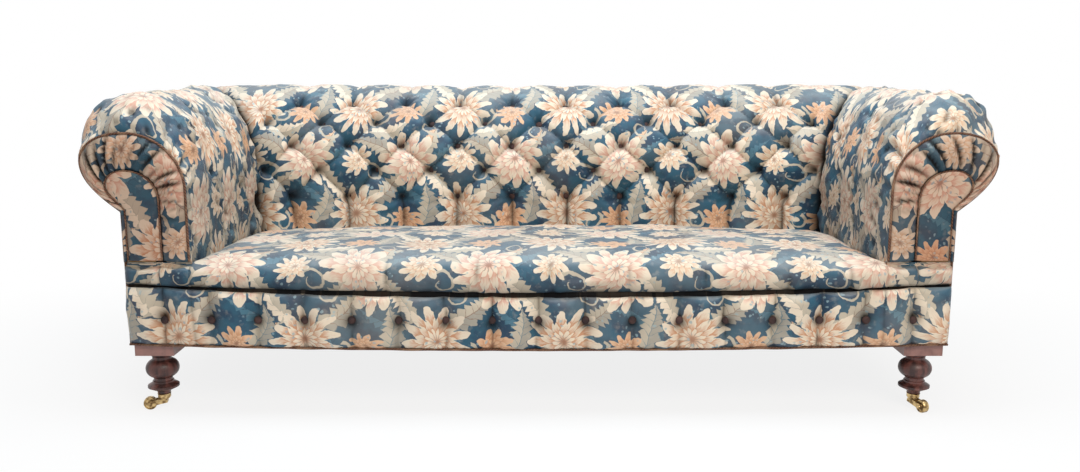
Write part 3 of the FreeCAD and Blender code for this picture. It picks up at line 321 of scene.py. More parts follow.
def stuffed(name: str, outer: np.ndarray, inner: np.ndarray, uv: np.ndarray,
            crease: np.ndarray) -> bpy.types.Object:
    """A closed padded form: a fine cover with a coarser lining behind it.

    Args:
        name: The piece's name.
        outer: Grid of the cover's points.
        inner: Grid of the lining's points.
        uv: Cloth coordinates of the cover.
        crease: Crease values of the cover.

    Returns:
        The object.
    """
    front = np.arange(outer[..., 0].size).reshape(outer.shape[:2])
    back = front.size + np.arange(inner[..., 0].size).reshape(inner.shape[:2])
    faces = grid_faces(front) + [face[::-1] for face in grid_faces(back)] + rim_faces(front, back)
    points = np.vstack([outer.reshape(-1, 3), inner.reshape(-1, 3)])
    maps = np.vstack([uv.reshape(-1, 2), uv[::LINING, ::LINING].reshape(-1, 2)])
    creases = np.concatenate([crease.ravel(), crease[::LINING, ::LINING].ravel()])
    return new_object(name, points, faces, maps, creases)


@dataclass(frozen=True)
class Stuffing:
    """A short cloth simulation in which a cover swells over its stuffing and puckers at what holds it."""

    pressure: float = 4.0
    slack: float = 0.006
    cap: float = 0.007
    frames: int = 20
    weights: int = 10
    quality: int = 5
    mass: float = 0.3
    bending: float = 0.4

    def settle(self, piece: bpy.types.Object, hold: np.ndarray) -> None:
        """Run the simulation on a closed piece and keep its result in the mesh.

        Args:
            piece: The piece, whose cover's points come before its lining's.
            hold: From 0 on free cloth to 1 where the cover is sewn or tacked; the lining is held.
        """
        mesh, scene = piece.data, bpy.context.scene
        rest = np.empty(len(mesh.vertices) * 3)
        mesh.vertices.foreach_get("co", rest)
        weight = np.ones(len(mesh.vertices))
        weight[:hold.size] = np.round(np.clip(hold.ravel(), 0, 1) * self.weights) / self.weights
        pins = piece.vertex_groups.new(name="held")
        for level in np.unique(weight[weight > 0]):
            pins.add(np.nonzero(weight == level)[0].tolist(), float(level), "REPLACE")
        cloth = piece.modifiers.new("cloth", "CLOTH")
        rules = cloth.settings
        rules.quality, rules.mass, rules.bending_stiffness = self.quality, self.mass, self.bending
        rules.vertex_group_mass, rules.effector_weights.gravity = pins.name, 0.0
        rules.use_pressure, rules.uniform_pressure_force = True, self.pressure
        rules.shrink_min = -self.slack
        cloth.collision_settings.use_collision = False
        cloth.point_cache.frame_start, cloth.point_cache.frame_end = 1, self.frames
        for number in range(1, self.frames + 1):
            scene.frame_set(number)
        settled = np.empty_like(rest)
        result = piece.evaluated_get(bpy.context.evaluated_depsgraph_get()).data
        result.vertices.foreach_get("co", settled)
        piece.modifiers.remove(cloth)
        piece.vertex_groups.remove(pins)
        scene.frame_set(1)
        move = (settled - rest).reshape(-1, 3)
        far = np.maximum(np.linalg.norm(move, axis=1, keepdims=True), 1e-9)
        kept = rest.reshape(-1, 3) + move * self.cap * np.tanh(far / self.cap) / far
        mesh.vertices.foreach_set("co", kept.ravel())
        mesh.update()
        LOG.info("settled %s, up to %.1f mm", piece.name, 1000 * self.cap * math.tanh(far.max() / self.cap))


def sewn(shape: tuple[int, int], rim: int = 1) -> np.ndarray:
    """A grid of holds that is 1 along its rim and 0 inside it.

    Args:
        shape: Rows and columns of the grid.
        rim: How many points wide the rim is.

    Returns:
        The holds.
    """
    hold = np.ones(shape)
    hold[rim:-rim, rim:-rim] = 0.0
    return hold


def tube(name: str, lines: Sequence[np.ndarray], radius: float, sides: int = 8) -> bpy.types.Object:
    """Round sewn cords along lines, closed at their ends.

    Args:
        name: The piece's name.
        lines: The middle line of each cord.
        radius: Of the cord.
        sides: Faces round it.

    Returns:
        One object for all the cords.
    """
    points, faces, maps = [], [], []
    turns = np.linspace(0, 2 * math.pi, sides, endpoint=False)
    askew = np.array([0.31, 0.87, 0.39])
    for line in lines:
        start = sum(len(block) for block in points)
        along = np.gradient(line, axis=0)
        along /= np.linalg.norm(along, axis=1, keepdims=True)
        lead = np.cross(along, askew)
        lead /= np.linalg.norm(lead, axis=1, keepdims=True)
        third = np.cross(along, lead)
        ring = line[:, None] + radius * (np.cos(turns)[None, :, None] * lead[:, None]
                                         + np.sin(turns)[None, :, None] * third[:, None])
        index = start + np.arange(ring.shape[0] * sides).reshape(ring.shape[0], sides)
        faces += grid_faces(np.hstack([index, index[:, :1]]))
        faces += [index[0].tolist(), index[-1].tolist()[::-1]]
        points.append(ring.reshape(-1, 3))
        lengths = np.repeat(run_lengths(line), sides)
        maps.append(np.column_stack([lengths, np.tile(turns * radius, ring.shape[0])]))
    count = sum(len(block) for block in points)
    return new_object(name, np.vstack(points), faces, np.vstack(maps), np.zeros(count))


# Shader graphs

class Graph:
    """A shader node tree that is being written, with short calls for its common nodes."""

    def __init__(self, tree: bpy.types.NodeTree) -> None:
        """Start on a tree."""
        self.tree = tree

    def node(self, kind: str, **settings: object) -> bpy.types.Node:
        """A new node with some of its settings.

        Args:
            kind: The node's type.
            settings: Its properties by name.

        Returns:
            The node.
        """
        made = self.tree.nodes.new(kind)
        for name, value in settings.items():
            setattr(made, name, value)
        return made

    def feed(self, socket: Socket, source: Feed) -> None:
        """Link a socket to a source, or set it to a plain value.

        Args:
            socket: An input of a node.
            source: What it takes.
        """
        if isinstance(source, bpy.types.NodeSocket):
            self.tree.links.new(source, socket)
        else:
            socket.default_value = source

    def worked(self, kind: str, action: str, sources: Sequence[Feed]) -> bpy.types.Node:
        """A new node that works something out.

        Args:
            kind: The node's type.
            action: The operation.
            sources: What it works on.

        Returns:
            The node.
        """
        made = self.node(kind, operation=action)
        for socket, source in zip(made.inputs, sources):
            self.feed(socket, source)
        return made

    def math(self, action: str, *sources: Feed) -> Socket:
        """A number worked out from others."""
        return self.worked("ShaderNodeMath", action, sources).outputs[0]

    def vector(self, action: str, *sources: Feed) -> Socket:
        """A vector worked out from others, or a number for a length."""
        made = self.worked("ShaderNodeVectorMath", action, sources)
        return made.outputs["Value" if action == "LENGTH" else "Vector"]

    def parts(self, vector: Socket) -> tuple[Socket, Socket, Socket]:
        """The three numbers of a vector.

        Args:
            vector: The vector.

        Returns:
            Its X, Y and Z.
        """
        made = self.node("ShaderNodeSeparateXYZ")
        self.feed(made.inputs[0], vector)
        return tuple(made.outputs)

    def layered(self, cover: Socket, upper: Feed, lower: Feed) -> Socket:
        """A number laid over another where a cover hides it.

        Args:
            cover: 1 where the upper number shows.
            upper: The number on top.
            lower: The number under it.

        Returns:
            The result.
        """
        shown, worn_and_lit = self.math("MULTIPLY", upper, cover), self.math("SUBTRACT", 1.0, cover)
        return self.math("ADD", shown, self.math("MULTIPLY", lower, worn_and_lit))

    def ramp(self, value: Feed, low: float, high: float, start: float = 0.0, end: float = 1.0) -> Socket:
        """A smooth change from start to end while a value goes from low to high.

        Args:
            value: What drives it.
            low: Where it begins.
            high: Where it ends.
            start: The result up to low.
            end: The result from high on.

        Returns:
            The result.
        """
        made = self.node("ShaderNodeMapRange", interpolation_type="SMOOTHSTEP")
        limits = (("Value", value), ("From Min", low), ("From Max", high), ("To Min", start), ("To Max", end))
        for name, source in limits:
            self.feed(made.inputs[name], source)
        return made.outputs[0]

    def mix(self, share: Feed, first: Feed, second: Feed, blend: str = "MIX") -> Socket:
        """Two colours mixed by a share.

        Args:
            share: How much of the second colour shows.
            first: The colour at 0.
            second: The colour at 1.
            blend: How the second is laid on the first.

        Returns:
            The colour.
        """
        made = self.node("ShaderNodeMix", data_type="RGBA", blend_type=blend)
        for number, source in ((0, share), (6, first), (7, second)):
            if isinstance(source, tuple) and len(source) == 3:
                source = (*source, 1.0)
            self.feed(made.inputs[number], source)
        return made.outputs[2]

    def noise(self, place: Socket, scale: float, detail: float = 2.0) -> tuple[Socket, Socket]:
        """Cloudy noise, as a number and as a colour.

        Args:
            place: Where it is looked up.
            scale: How fine it is.
            detail: How rough it is.

        Returns:
            The number and the colour.
        """
        made = self.node("ShaderNodeTexNoise")
        self.feed(made.inputs["Vector"], place)
        made.inputs["Scale"].default_value = scale
        made.inputs["Detail"].default_value = detail
        return made.outputs[0], made.outputs[1]

    def group(self, tree: bpy.types.NodeTree, **sources: Feed) -> bpy.types.bpy_prop_collection:
        """A shared group placed in this tree, by its inputs' names.

        Args:
            tree: The group.
            sources: What its inputs take.

        Returns:
            Its outputs.
        """
        made = self.node("ShaderNodeGroup", node_tree=tree)
        for name, source in sources.items():
            self.feed(made.inputs[name], source)
        return made.outputs


class Kind(Enum):
    """The kinds of group sockets."""

    NUMBER = "NodeSocketFloat"
    VECTOR = "NodeSocketVector"
    COLOUR = "NodeSocketColor"


class Effect:
    """A shared shader node group that is being written."""

    def __init__(self, name: str, inputs: dict[str, Kind], outputs: dict[str, Kind]) -> None:
        """Make the group with its sockets.

        Args:
            name: The group's name.
            inputs: Kinds of its inputs by name.
            outputs: Kinds of its outputs by name.
        """
        self.tree = bpy.data.node_groups.new(name, "ShaderNodeTree")
        for sockets, way in ((inputs, "INPUT"), (outputs, "OUTPUT")):
            for label, kind in sockets.items():
                self.tree.interface.new_socket(label, in_out=way, socket_type=kind.value)
        self.graph = Graph(self.tree)
        self.given = self.graph.node("NodeGroupInput").outputs
        self.made = self.graph.node("NodeGroupOutput").inputs

    def out(self, **results: Socket) -> bpy.types.NodeTree:
        """Join results to the outputs and give the finished group.

        Args:
            results: What each output gives.

        Returns:
            The group.
        """
        for label, result in results.items():
            self.graph.feed(self.made[label], result)
        return self.tree


@dataclass(frozen=True)
class Bloom:
    """A round flower of the print: its place in the repeat, size, petals, their point and its turn."""

    centre: tuple[float, float]
    radius: float
    petals: int
    point: float
    turn: float
    tip: Colour
    heart: Colour


@dataclass(frozen=True)
class Leaf:
    """A toothed leaf of the print: its place in the repeat, size, lie, its halves' tones and its veins."""

    centre: tuple[float, float]
    length: float
    width: float
    angle: float
    light: Colour
    dark: Colour
    vein: Colour


@dataclass(frozen=True)
class Curl:
    """A tendril of the print: its place in the repeat, size and turn."""

    centre: tuple[float, float]
    radius: float
    turn: float


CREAM = linear(237, 221, 199)
PEACH = linear(228, 186, 150)
ROSE = linear(220, 170, 148)
APRICOT = linear(208, 150, 112)
BISCUIT = linear(198, 187, 168)
STONE = linear(168, 162, 150)
TEAL = linear(36, 88, 112)
DEEP_TEAL = linear(27, 62, 88)
MID_TEAL = linear(72, 118, 138)
SEPIA = linear(128, 84, 66)
SKY = linear(150, 180, 190)


@dataclass(frozen=True)
class FloralPrint:
    """The printed cotton's pattern: round blooms, leaves and tendrils on a teal ground, in a repeat."""

    repeat: tuple[float, float] = (0.31, 0.33)
    blur: float = 0.0009
    ring_shapes: tuple[tuple[float, float], ...] = ((0.46, 0.54), (0.28, 0.38), (0.15, 0.19))
    tooth: float = 0.0185
    bend: float = 0.050
    waver: float = 0.0075
    shadows: tuple[Leaf, ...] = (
        Leaf((0.150, 0.085), 0.170, 0.030, 1.75, MID_TEAL, TEAL, DEEP_TEAL),
        Leaf((0.010, 0.250), 0.170, 0.030, 0.60, MID_TEAL, TEAL, DEEP_TEAL),
        Leaf((0.270, 0.150), 0.150, 0.028, 2.50, MID_TEAL, TEAL, DEEP_TEAL),
    )
    leaves: tuple[Leaf, ...] = (
        Leaf((0.165, 0.155), 0.150, 0.030, 0.75, BISCUIT, STONE, SEPIA),
        Leaf((0.012, 0.185), 0.140, 0.027, 2.20, CREAM, BISCUIT, STONE),
        Leaf((0.290, 0.115), 0.130, 0.028, 1.35, BISCUIT, STONE, MID_TEAL),
        Leaf((0.140, 0.295), 0.140, 0.029, 2.65, BISCUIT, STONE, SEPIA),
        Leaf((0.180, 0.005), 0.120, 0.025, 0.20, CREAM, BISCUIT, STONE),
        Leaf((0.300, 0.300), 0.100, 0.020, 1.00, PEACH, BISCUIT, SEPIA),
    )
    blooms: tuple[Bloom, ...] = (
        Bloom((0.082, 0.086), 0.090, 13, 1.15, 0.4, CREAM, APRICOT),
        Bloom((0.235, 0.246), 0.086, 11, 0.75, 1.1, CREAM, ROSE),
        Bloom((0.226, 0.068), 0.046, 9, 1.30, 0.0, PEACH, APRICOT),
        Bloom((0.078, 0.254), 0.048, 10, 1.00, 0.7, CREAM, PEACH),
    )
    curls: tuple[Curl, ...] = (Curl((0.130, 0.205), 0.036, 0.6), Curl((0.300, 0.015), 0.034, 3.4),
                               Curl((0.160, 0.060), 0.026, 2.0))

    def wrapped(self, effect: Effect) -> Socket:
        """The way from a motif's centre to a place, within the repeat around it.

        Args:
            effect: The motif's group.

        Returns:
            The way, as a vector.
        """
        wide, high = (size / 2 for size in self.repeat)
        offset = effect.graph.vector("SUBTRACT", effect.given["Place"], effect.given["Centre"])
        return effect.graph.vector("WRAP", offset, (wide, high, 1.0), (-wide, -high, -1.0))

    def bloom_effect(self) -> bpy.types.NodeTree:
        """A flower of three rings of petals, each pale at its tip and deeper at its base.

        Returns:
            The group.
        """
        effect = Effect("Bloom", {"Place": Kind.VECTOR, "Centre": Kind.VECTOR, "Radius": Kind.NUMBER,
                                  "Petals": Kind.NUMBER, "Point": Kind.NUMBER, "Turn": Kind.NUMBER},
                        {"Petal": Kind.NUMBER, "Line": Kind.NUMBER, "Tone": Kind.NUMBER})
        g, given = effect.graph, effect.given
        way = self.wrapped(effect)
        x, y, _ = g.parts(way)
        far = g.vector("LENGTH", way)
        lean = g.math("MULTIPLY_ADD", far, 13.0, given["Turn"])
        half_petals = g.math("MULTIPLY", given["Petals"], 0.5)
        angle = g.math("MULTIPLY_ADD", g.math("ARCTAN2", y, x), half_petals, lean)
        lobes = [g.math("ABSOLUTE", g.math(turn, angle)) for turn in ("COSINE", "SINE")]
        shapes = [g.math("POWER", lobe, given["Point"]) for lobe in lobes]
        rings = [g.math("MULTIPLY", given["Radius"], g.math("MULTIPLY_ADD", shapes[number % 2], spread, base))
                 for number, (spread, base) in enumerate(self.ring_shapes)]
        inside = [g.ramp(g.math("SUBTRACT", far, ring), -self.blur, self.blur, 1.0, 0.0) for ring in rings]
        gap = g.math("DIVIDE", g.math("MULTIPLY", far, 2.0), given["Petals"])
        strokes = [g.ramp(g.math("MULTIPLY", gap, lobe), 0.0003, 0.0016, 1.0, 0.0) for lobe in lobes]
        shares = [g.math("DIVIDE", g.math("SUBTRACT", far, base), g.math("SUBTRACT", ring, base))
                  for ring, base in zip(rings, (rings[1], rings[2], 0.0))]
        tone, line = shares[0], strokes[0]
        for number in (1, 2):
            tone = g.layered(inside[number], shares[number], tone)
            line = g.layered(inside[number], strokes[number % 2], line)
        streak = g.node("ShaderNodeCombineXYZ")
        g.feed(streak.inputs[0], g.math("MULTIPLY", angle, 1.6))
        g.feed(streak.inputs[1], g.math("MULTIPLY", far, 24.0))
        brush, _ = g.noise(streak.outputs[0], 2.2, 1.0)
        painted = g.math("ADD", tone, g.math("MULTIPLY_ADD", brush, 0.9, -0.45))
        heart = g.ramp(g.math("DIVIDE", far, given["Radius"]), 0.05, 0.08, 1.0, 0.0)
        drawn = g.math("MULTIPLY", g.math("MAXIMUM", line, heart), inside[0])
        return effect.out(Petal=inside[0], Line=drawn, Tone=painted)

    def leaf_effect(self) -> bpy.types.NodeTree:
        """A bent leaf with toothed edges, a rib and side veins.

        Returns:
            The group.
        """
        effect = Effect("Leaf", {"Place": Kind.VECTOR, "Centre": Kind.VECTOR, "Length": Kind.NUMBER,
                                 "Width": Kind.NUMBER, "Angle": Kind.NUMBER},
                        {"Blade": Kind.NUMBER, "Vein": Kind.NUMBER, "Half": Kind.NUMBER})
        g, given = effect.graph, effect.given
        turn = g.node("ShaderNodeVectorRotate", rotation_type="Z_AXIS")
        g.feed(turn.inputs["Vector"], self.wrapped(effect))
        g.feed(turn.inputs["Angle"], g.math("MULTIPLY", given["Angle"], -1.0))
        x, y, _ = g.parts(turn.outputs[0])
        along = g.math("DIVIDE", g.math("MULTIPLY", x, 2.0), given["Length"])
        bent = g.math("SUBTRACT", y, g.math("MULTIPLY", g.math("MULTIPLY", x, x), 3.4))
        off = g.math("ABSOLUTE", bent)
        body = g.math("SUBTRACT", 1.0, g.math("MULTIPLY", along, along))
        slant = g.math("DIVIDE", g.math("MULTIPLY_ADD", off, -0.8, x), self.tooth)
        teeth = g.math("MULTIPLY_ADD", g.math("FRACT", slant), -0.42, 1.0)
        taper = g.math("MULTIPLY_ADD", along, -0.36, 1.0)
        half = g.math("MULTIPLY", given["Width"], g.math("MULTIPLY", body, g.math("MULTIPLY", teeth, taper)))
        blade = g.ramp(g.math("SUBTRACT", off, half), -self.blur, self.blur, 1.0, 0.0)
        rib = g.ramp(off, 0.0003, 0.0014, 1.0, 0.0)
        sides = g.ramp(g.math("PINGPONG", slant, 0.5), 0.01, 0.07, 1.0, 0.0)
        within = g.ramp(g.math("SUBTRACT", off, g.math("MULTIPLY", half, 0.70)), -0.002, 0.0, 1.0, 0.0)
        veins = g.math("MULTIPLY", g.math("MAXIMUM", rib, g.math("MULTIPLY", sides, within)), blade)
        return effect.out(Blade=blade, Vein=veins, Half=g.ramp(bent, -0.0015, 0.0015))

    def curl_effect(self) -> bpy.types.NodeTree:
        """A tendril that winds out once and thickens.

        Returns:
            The group.
        """
        effect = Effect("Curl", {"Place": Kind.VECTOR, "Centre": Kind.VECTOR, "Radius": Kind.NUMBER,
                                 "Turn": Kind.NUMBER}, {"Stroke": Kind.NUMBER})
        g, given = effect.graph, effect.given
        way = self.wrapped(effect)
        turn = g.node("ShaderNodeVectorRotate", rotation_type="Z_AXIS")
        g.feed(turn.inputs["Vector"], way)
        g.feed(turn.inputs["Angle"], given["Turn"])
        x, y, _ = g.parts(turn.outputs[0])
        share = g.math("MULTIPLY_ADD", g.math("ARCTAN2", y, x), 0.5 / math.pi, 0.5)
        wound = g.math("MULTIPLY", given["Radius"], g.math("MULTIPLY_ADD", share, 0.62, 0.38))
        off = g.math("ABSOLUTE", g.math("SUBTRACT", g.vector("LENGTH", way), wound))
        thick = g.math("MULTIPLY_ADD", share, 0.0038, 0.0010)
        return effect.out(Stroke=g.ramp(g.math("SUBTRACT", off, thick), -0.0008, 0.0008, 1.0, 0.0))

    def effect(self) -> bpy.types.NodeTree:
        """The whole print as one group from cloth coordinates in metres to colour.

        Returns:
            The group.
        """
        bloom, leaf, curl = self.bloom_effect(), self.leaf_effect(), self.curl_effect()
        whole = Effect("Floral print", {"Cloth": Kind.VECTOR}, {"Colour": Kind.COLOUR})
        g = whole.graph
        _, drift = g.noise(whole.given["Cloth"], 9.0, 1.0)
        _, shake = g.noise(whole.given["Cloth"], 80.0, 1.0)
        middle = (0.5, 0.5, 0.5)
        bend = g.vector("MULTIPLY", g.vector("SUBTRACT", drift, middle), (self.bend,) * 3)
        waver = g.vector("MULTIPLY", g.vector("SUBTRACT", shake, middle), (self.waver,) * 3)
        moved = g.vector("ADD", whole.given["Cloth"], g.vector("ADD", bend, waver))
        flat = g.vector("MULTIPLY", moved, (1, 1, 0))
        cloud, _ = g.noise(whole.given["Cloth"], 22.0, 3.0)
        colour = g.mix(g.ramp(cloud, 0.40, 0.62), TEAL, DEEP_TEAL)
        for item in self.shadows + self.leaves:
            drawn = g.group(leaf, Place=flat, Centre=(*item.centre, 0), Length=item.length, Width=item.width,
                            Angle=item.angle)
            tone = g.mix(drawn["Half"], item.dark, item.light)
            tone = g.mix(g.math("MULTIPLY", drawn["Vein"], 0.75), tone, item.vein)
            colour = g.mix(drawn["Blade"], colour, tone)
        for item in self.curls:
            stroke = g.group(curl, Place=flat, Centre=(*item.centre, 0), Radius=item.radius, Turn=item.turn)
            colour = g.mix(stroke["Stroke"], colour, BISCUIT)
        for item in self.blooms:
            drawn = g.group(bloom, Place=flat, Centre=(*item.centre, 0), Radius=item.radius,
                            Petals=float(item.petals), Point=item.point, Turn=item.turn)
            tone = g.mix(g.ramp(drawn["Tone"], 0.0, 0.75), item.heart, item.tip)
            tone = g.mix(g.math("MULTIPLY", drawn["Line"], 0.62), tone, SEPIA)
            colour = g.mix(drawn["Petal"], colour, tone)
        dots = g.node("ShaderNodeTexVoronoi", voronoi_dimensions="2D")
        g.feed(dots.inputs["Vector"], flat)
        dots.inputs["Scale"].default_value = 52.0
        dot = g.ramp(dots.outputs["Distance"], 0.12, 0.19, 1.0, 0.0)
        fleck = g.math("MULTIPLY", dot, g.ramp(cloud, 0.52, 0.60))
        return whole.out(Colour=g.mix(g.math("MULTIPLY", fleck, 0.7), colour, SKY))


class SharedEffects:
    """The node groups that more than one finish uses."""

    def __init__(self) -> None:
        """Build each group once."""
        self.print_colour = FloralPrint().effect()
        self.weave = self.weave_effect()
        self.ageing = self.ageing_and_shade_effect()
        self.grain = self.grain_effect()

    def weave_effect(self) -> bpy.types.NodeTree:
        """A plain weave's threads over and under each other, as a height.

        Returns:
            The group.
        """
        effect = Effect("Weave", {"Cloth": Kind.VECTOR, "Threads": Kind.NUMBER}, {"Height": Kind.NUMBER})
        g = effect.graph
        u, v, _ = g.parts(effect.given["Cloth"])
        rows = [g.math("MULTIPLY", axis, effect.given["Threads"]) for axis in (u, v)]
        rounds = [g.math("ABSOLUTE", g.math("SINE", g.math("MULTIPLY", row, math.pi))) for row in rows]
        squares = g.math("ADD", g.math("FLOOR", rows[0]), g.math("FLOOR", rows[1]))
        checks = g.math("FLOORED_MODULO", squares, 2.0)
        over = g.math("MULTIPLY", rounds[0], checks)
        under = g.math("MULTIPLY", rounds[1], g.math("SUBTRACT", 1.0, checks))
        return effect.out(Height=g.math("ADD", over, under))

    def ageing_and_shade_effect(self) -> bpy.types.NodeTree:
        """Cloth faded and browned in patches, and darkened deep in its folds and crevices as painted shade.

        Returns:
            The group.
        """
        effect = Effect("Ageing", {"Colour": Kind.COLOUR, "Place": Kind.VECTOR, "Fold": Kind.NUMBER},
                        {"Colour": Kind.COLOUR, "Wear": Kind.NUMBER})
        g = effect.graph
        patch, _ = g.noise(effect.given["Place"], 3.2, 4.0)
        fine, _ = g.noise(effect.given["Place"], 60.0, 3.0)
        faded = g.mix(g.ramp(patch, 0.42, 0.75, 0.0, 0.17), effect.given["Colour"], linear(226, 208, 184))
        brown = g.mix(g.ramp(patch, 0.30, 0.46, 0.16, 0.0), faded, linear(150, 116, 84))
        rubbed = g.mix(g.ramp(fine, 0.55, 0.75, 0.0, 0.13), brown, linear(232, 216, 194))
        # Painted shade: deep in folds and crevices the colour goes toward near black
        shade = g.math("MULTIPLY", g.math("POWER", effect.given["Fold"], 1.5), 0.96)
        return effect.out(Colour=g.mix(shade, rubbed, linear(18, 13, 12)), Wear=patch)

    def grain_effect(self) -> bpy.types.NodeTree:
        """Straight wood grain along Z, as two tones and a height.

        Returns:
            The group.
        """
        effect = Effect("Grain", {"Place": Kind.VECTOR, "Dark": Kind.COLOUR, "Light": Kind.COLOUR},
                        {"Colour": Kind.COLOUR, "Height": Kind.NUMBER})
        g = effect.graph
        drawn = g.vector("MULTIPLY", effect.given["Place"], (1.0, 1.0, 0.09))
        bands, _ = g.noise(drawn, 70.0, 4.0)
        pores, _ = g.noise(drawn, 420.0, 2.0)
        scuff, _ = g.noise(effect.given["Place"], 24.0, 3.0)
        share = g.math("MULTIPLY", g.ramp(bands, 0.36, 0.64), g.ramp(scuff, 0.30, 0.70, 0.45, 1.0))
        colour = g.mix(share, effect.given["Dark"], effect.given["Light"])
        height = g.math("MULTIPLY_ADD", pores, 0.5, g.math("MULTIPLY", bands, 0.5))
        return effect.out(Colour=colour, Height=height)


@dataclass(frozen=True)
class Finish:
    """A finish of the sofa: its material's name and the plain numbers of its surface."""

    name: str

    def start(self) -> tuple[bpy.types.Material, Graph, bpy.types.Node]:
        """An empty node material with its main shader.

        Returns:
            The material, its graph and the shader.
        """
        material = bpy.data.materials.new(self.name)
        material.use_nodes = True
        graph = Graph(material.node_tree)
        return material, graph, material.node_tree.nodes["Principled BSDF"]

    @staticmethod
    def bump(graph: Graph, shader: bpy.types.Node, height: Socket, depth: float,
             strength: float = 1.0) -> None:
        """Give a shader a relief of a depth in metres from a height.

        Args:
            graph: The material's graph.
            shader: Its main shader.
            height: The relief.
            depth: How deep it is.
            strength: How much of it shows.
        """
        relief = graph.node("ShaderNodeBump")
        relief.inputs["Strength"].default_value = strength
        relief.inputs["Distance"].default_value = depth
        graph.feed(relief.inputs["Height"], height)
        graph.feed(shader.inputs["Normal"], relief.outputs[0])


@dataclass(frozen=True)
class PrintedCotton(Finish):
    """Glazed cotton with the floral print, a weave and faded patches, with painted shade in its folds and a
    painted pale sheen on upward faces.
    """

    threads: float = 900.0
    soil_and_shade: Colour = (1.0, 1.0, 1.0)

    def make(self, effects: SharedEffects) -> bpy.types.Material:
        """The finished material.

        Args:
            effects: The shared node groups.

        Returns:
            The material.
        """
        material, g, shader = self.start()
        cloth = g.node("ShaderNodeUVMap", uv_map="cloth").outputs[0]
        surface = g.node("ShaderNodeTexCoord").outputs
        place, upward = surface["Object"], g.parts(surface["Normal"])[2]
        fold = g.node("ShaderNodeAttribute", attribute_name="crease").outputs["Fac"]
        printed = g.group(effects.print_colour, Cloth=cloth)["Colour"]
        # Painted reflection: upward faces are paled in patches toward a cool light grey, a sheen from above
        sheen_patches, _ = g.noise(place, 4.0, 2.0)
        top_sheen = g.math("MULTIPLY", g.ramp(upward, 0.45, 0.95), g.ramp(sheen_patches, 0.35, 0.65, 0.10, 0.27))
        with_top_sheen = g.mix(top_sheen, printed, linear(212, 213, 208))
        # The ageing group also paints shade in the folds from the crease values
        aged_and_shaded = g.group(effects.ageing, Colour=with_top_sheen, Place=place, Fold=fold)
        # A tinted piece is browned and darkened in patches by its tint: soil, with painted shade
        soil_and_shade_share = g.ramp(aged_and_shaded["Wear"], 0.30, 0.62, 1.0, 0.75)
        g.feed(shader.inputs["Base Color"], g.mix(soil_and_shade_share, aged_and_shaded["Colour"], self.soil_and_shade, "MULTIPLY"))
        glaze = g.ramp(aged_and_shaded["Wear"], 0.35, 0.70, 0.46, 0.66)
        g.feed(shader.inputs["Roughness"], g.math("MAXIMUM", glaze, fold))
        g.feed(shader.inputs["Coat Weight"], g.ramp(fold, 0.2, 0.8, 0.15, 0.0))
        shader.inputs["Specular IOR Level"].default_value = 0.3
        shader.inputs["Coat Roughness"].default_value = 0.34
        shader.inputs["Sheen Weight"].default_value = 0.03
        shader.inputs["Sheen Roughness"].default_value = 0.5
        weave = g.group(effects.weave, Cloth=cloth, Threads=self.threads)["Height"]
        slack, _ = g.noise(place, 55.0, 3.0)
        self.bump(g, shader, g.math("MULTIPLY_ADD", slack, 3.0, weave), 0.0004, 0.55)
        return material


@dataclass(frozen=True)
class PlainCloth(Finish):
    """Plain woven cloth in two close tones."""

    light: Colour
    dark: Colour
    threads: float
    depth: float

    def make(self, effects: SharedEffects) -> bpy.types.Material:
        """The finished material.

        Args:
            effects: The shared node groups.

        Returns:
            The material.
        """
        material, g, shader = self.start()
        place = g.node("ShaderNodeTexCoord").outputs["Object"]
        patch, _ = g.noise(place, 34.0, 4.0)
        g.feed(shader.inputs["Base Color"], g.mix(g.ramp(patch, 0.34, 0.68), self.dark, self.light))
        g.feed(shader.inputs["Roughness"], g.ramp(patch, 0.30, 0.70, 0.92, 0.78))
        weave = g.group(effects.weave, Cloth=place, Threads=self.threads)["Height"]
        self.bump(g, shader, weave, self.depth, 0.7)
        return material


@dataclass(frozen=True)
class TwistedCord(Finish):
    """Trimming cord of twisted strands in two worn tones."""

    light: Colour
    dark: Colour
    lay: float

    def make(self, effects: SharedEffects) -> bpy.types.Material:
        """The finished material.

        Args:
            effects: The shared node groups; not used.

        Returns:
            The material.
        """
        material, g, shader = self.start()
        u, v, _ = g.parts(g.node("ShaderNodeUVMap", uv_map="cloth").outputs[0])
        place = g.node("ShaderNodeTexCoord").outputs["Object"]
        strand = g.math("PINGPONG", g.math("DIVIDE", g.math("ADD", u, v), self.lay), 0.5)
        worn, _ = g.noise(place, 40.0, 3.0)
        tone = g.mix(g.ramp(strand, 0.04, 0.40), self.dark, self.light)
        faded = g.mix(g.ramp(worn, 0.42, 0.72, 0.0, 0.4), tone, linear(184, 148, 116))
        g.feed(shader.inputs["Base Color"], faded)
        g.feed(shader.inputs["Roughness"], g.ramp(worn, 0.30, 0.70, 0.88, 0.70))
        self.bump(g, shader, strand, 0.0012, 0.8)
        return material


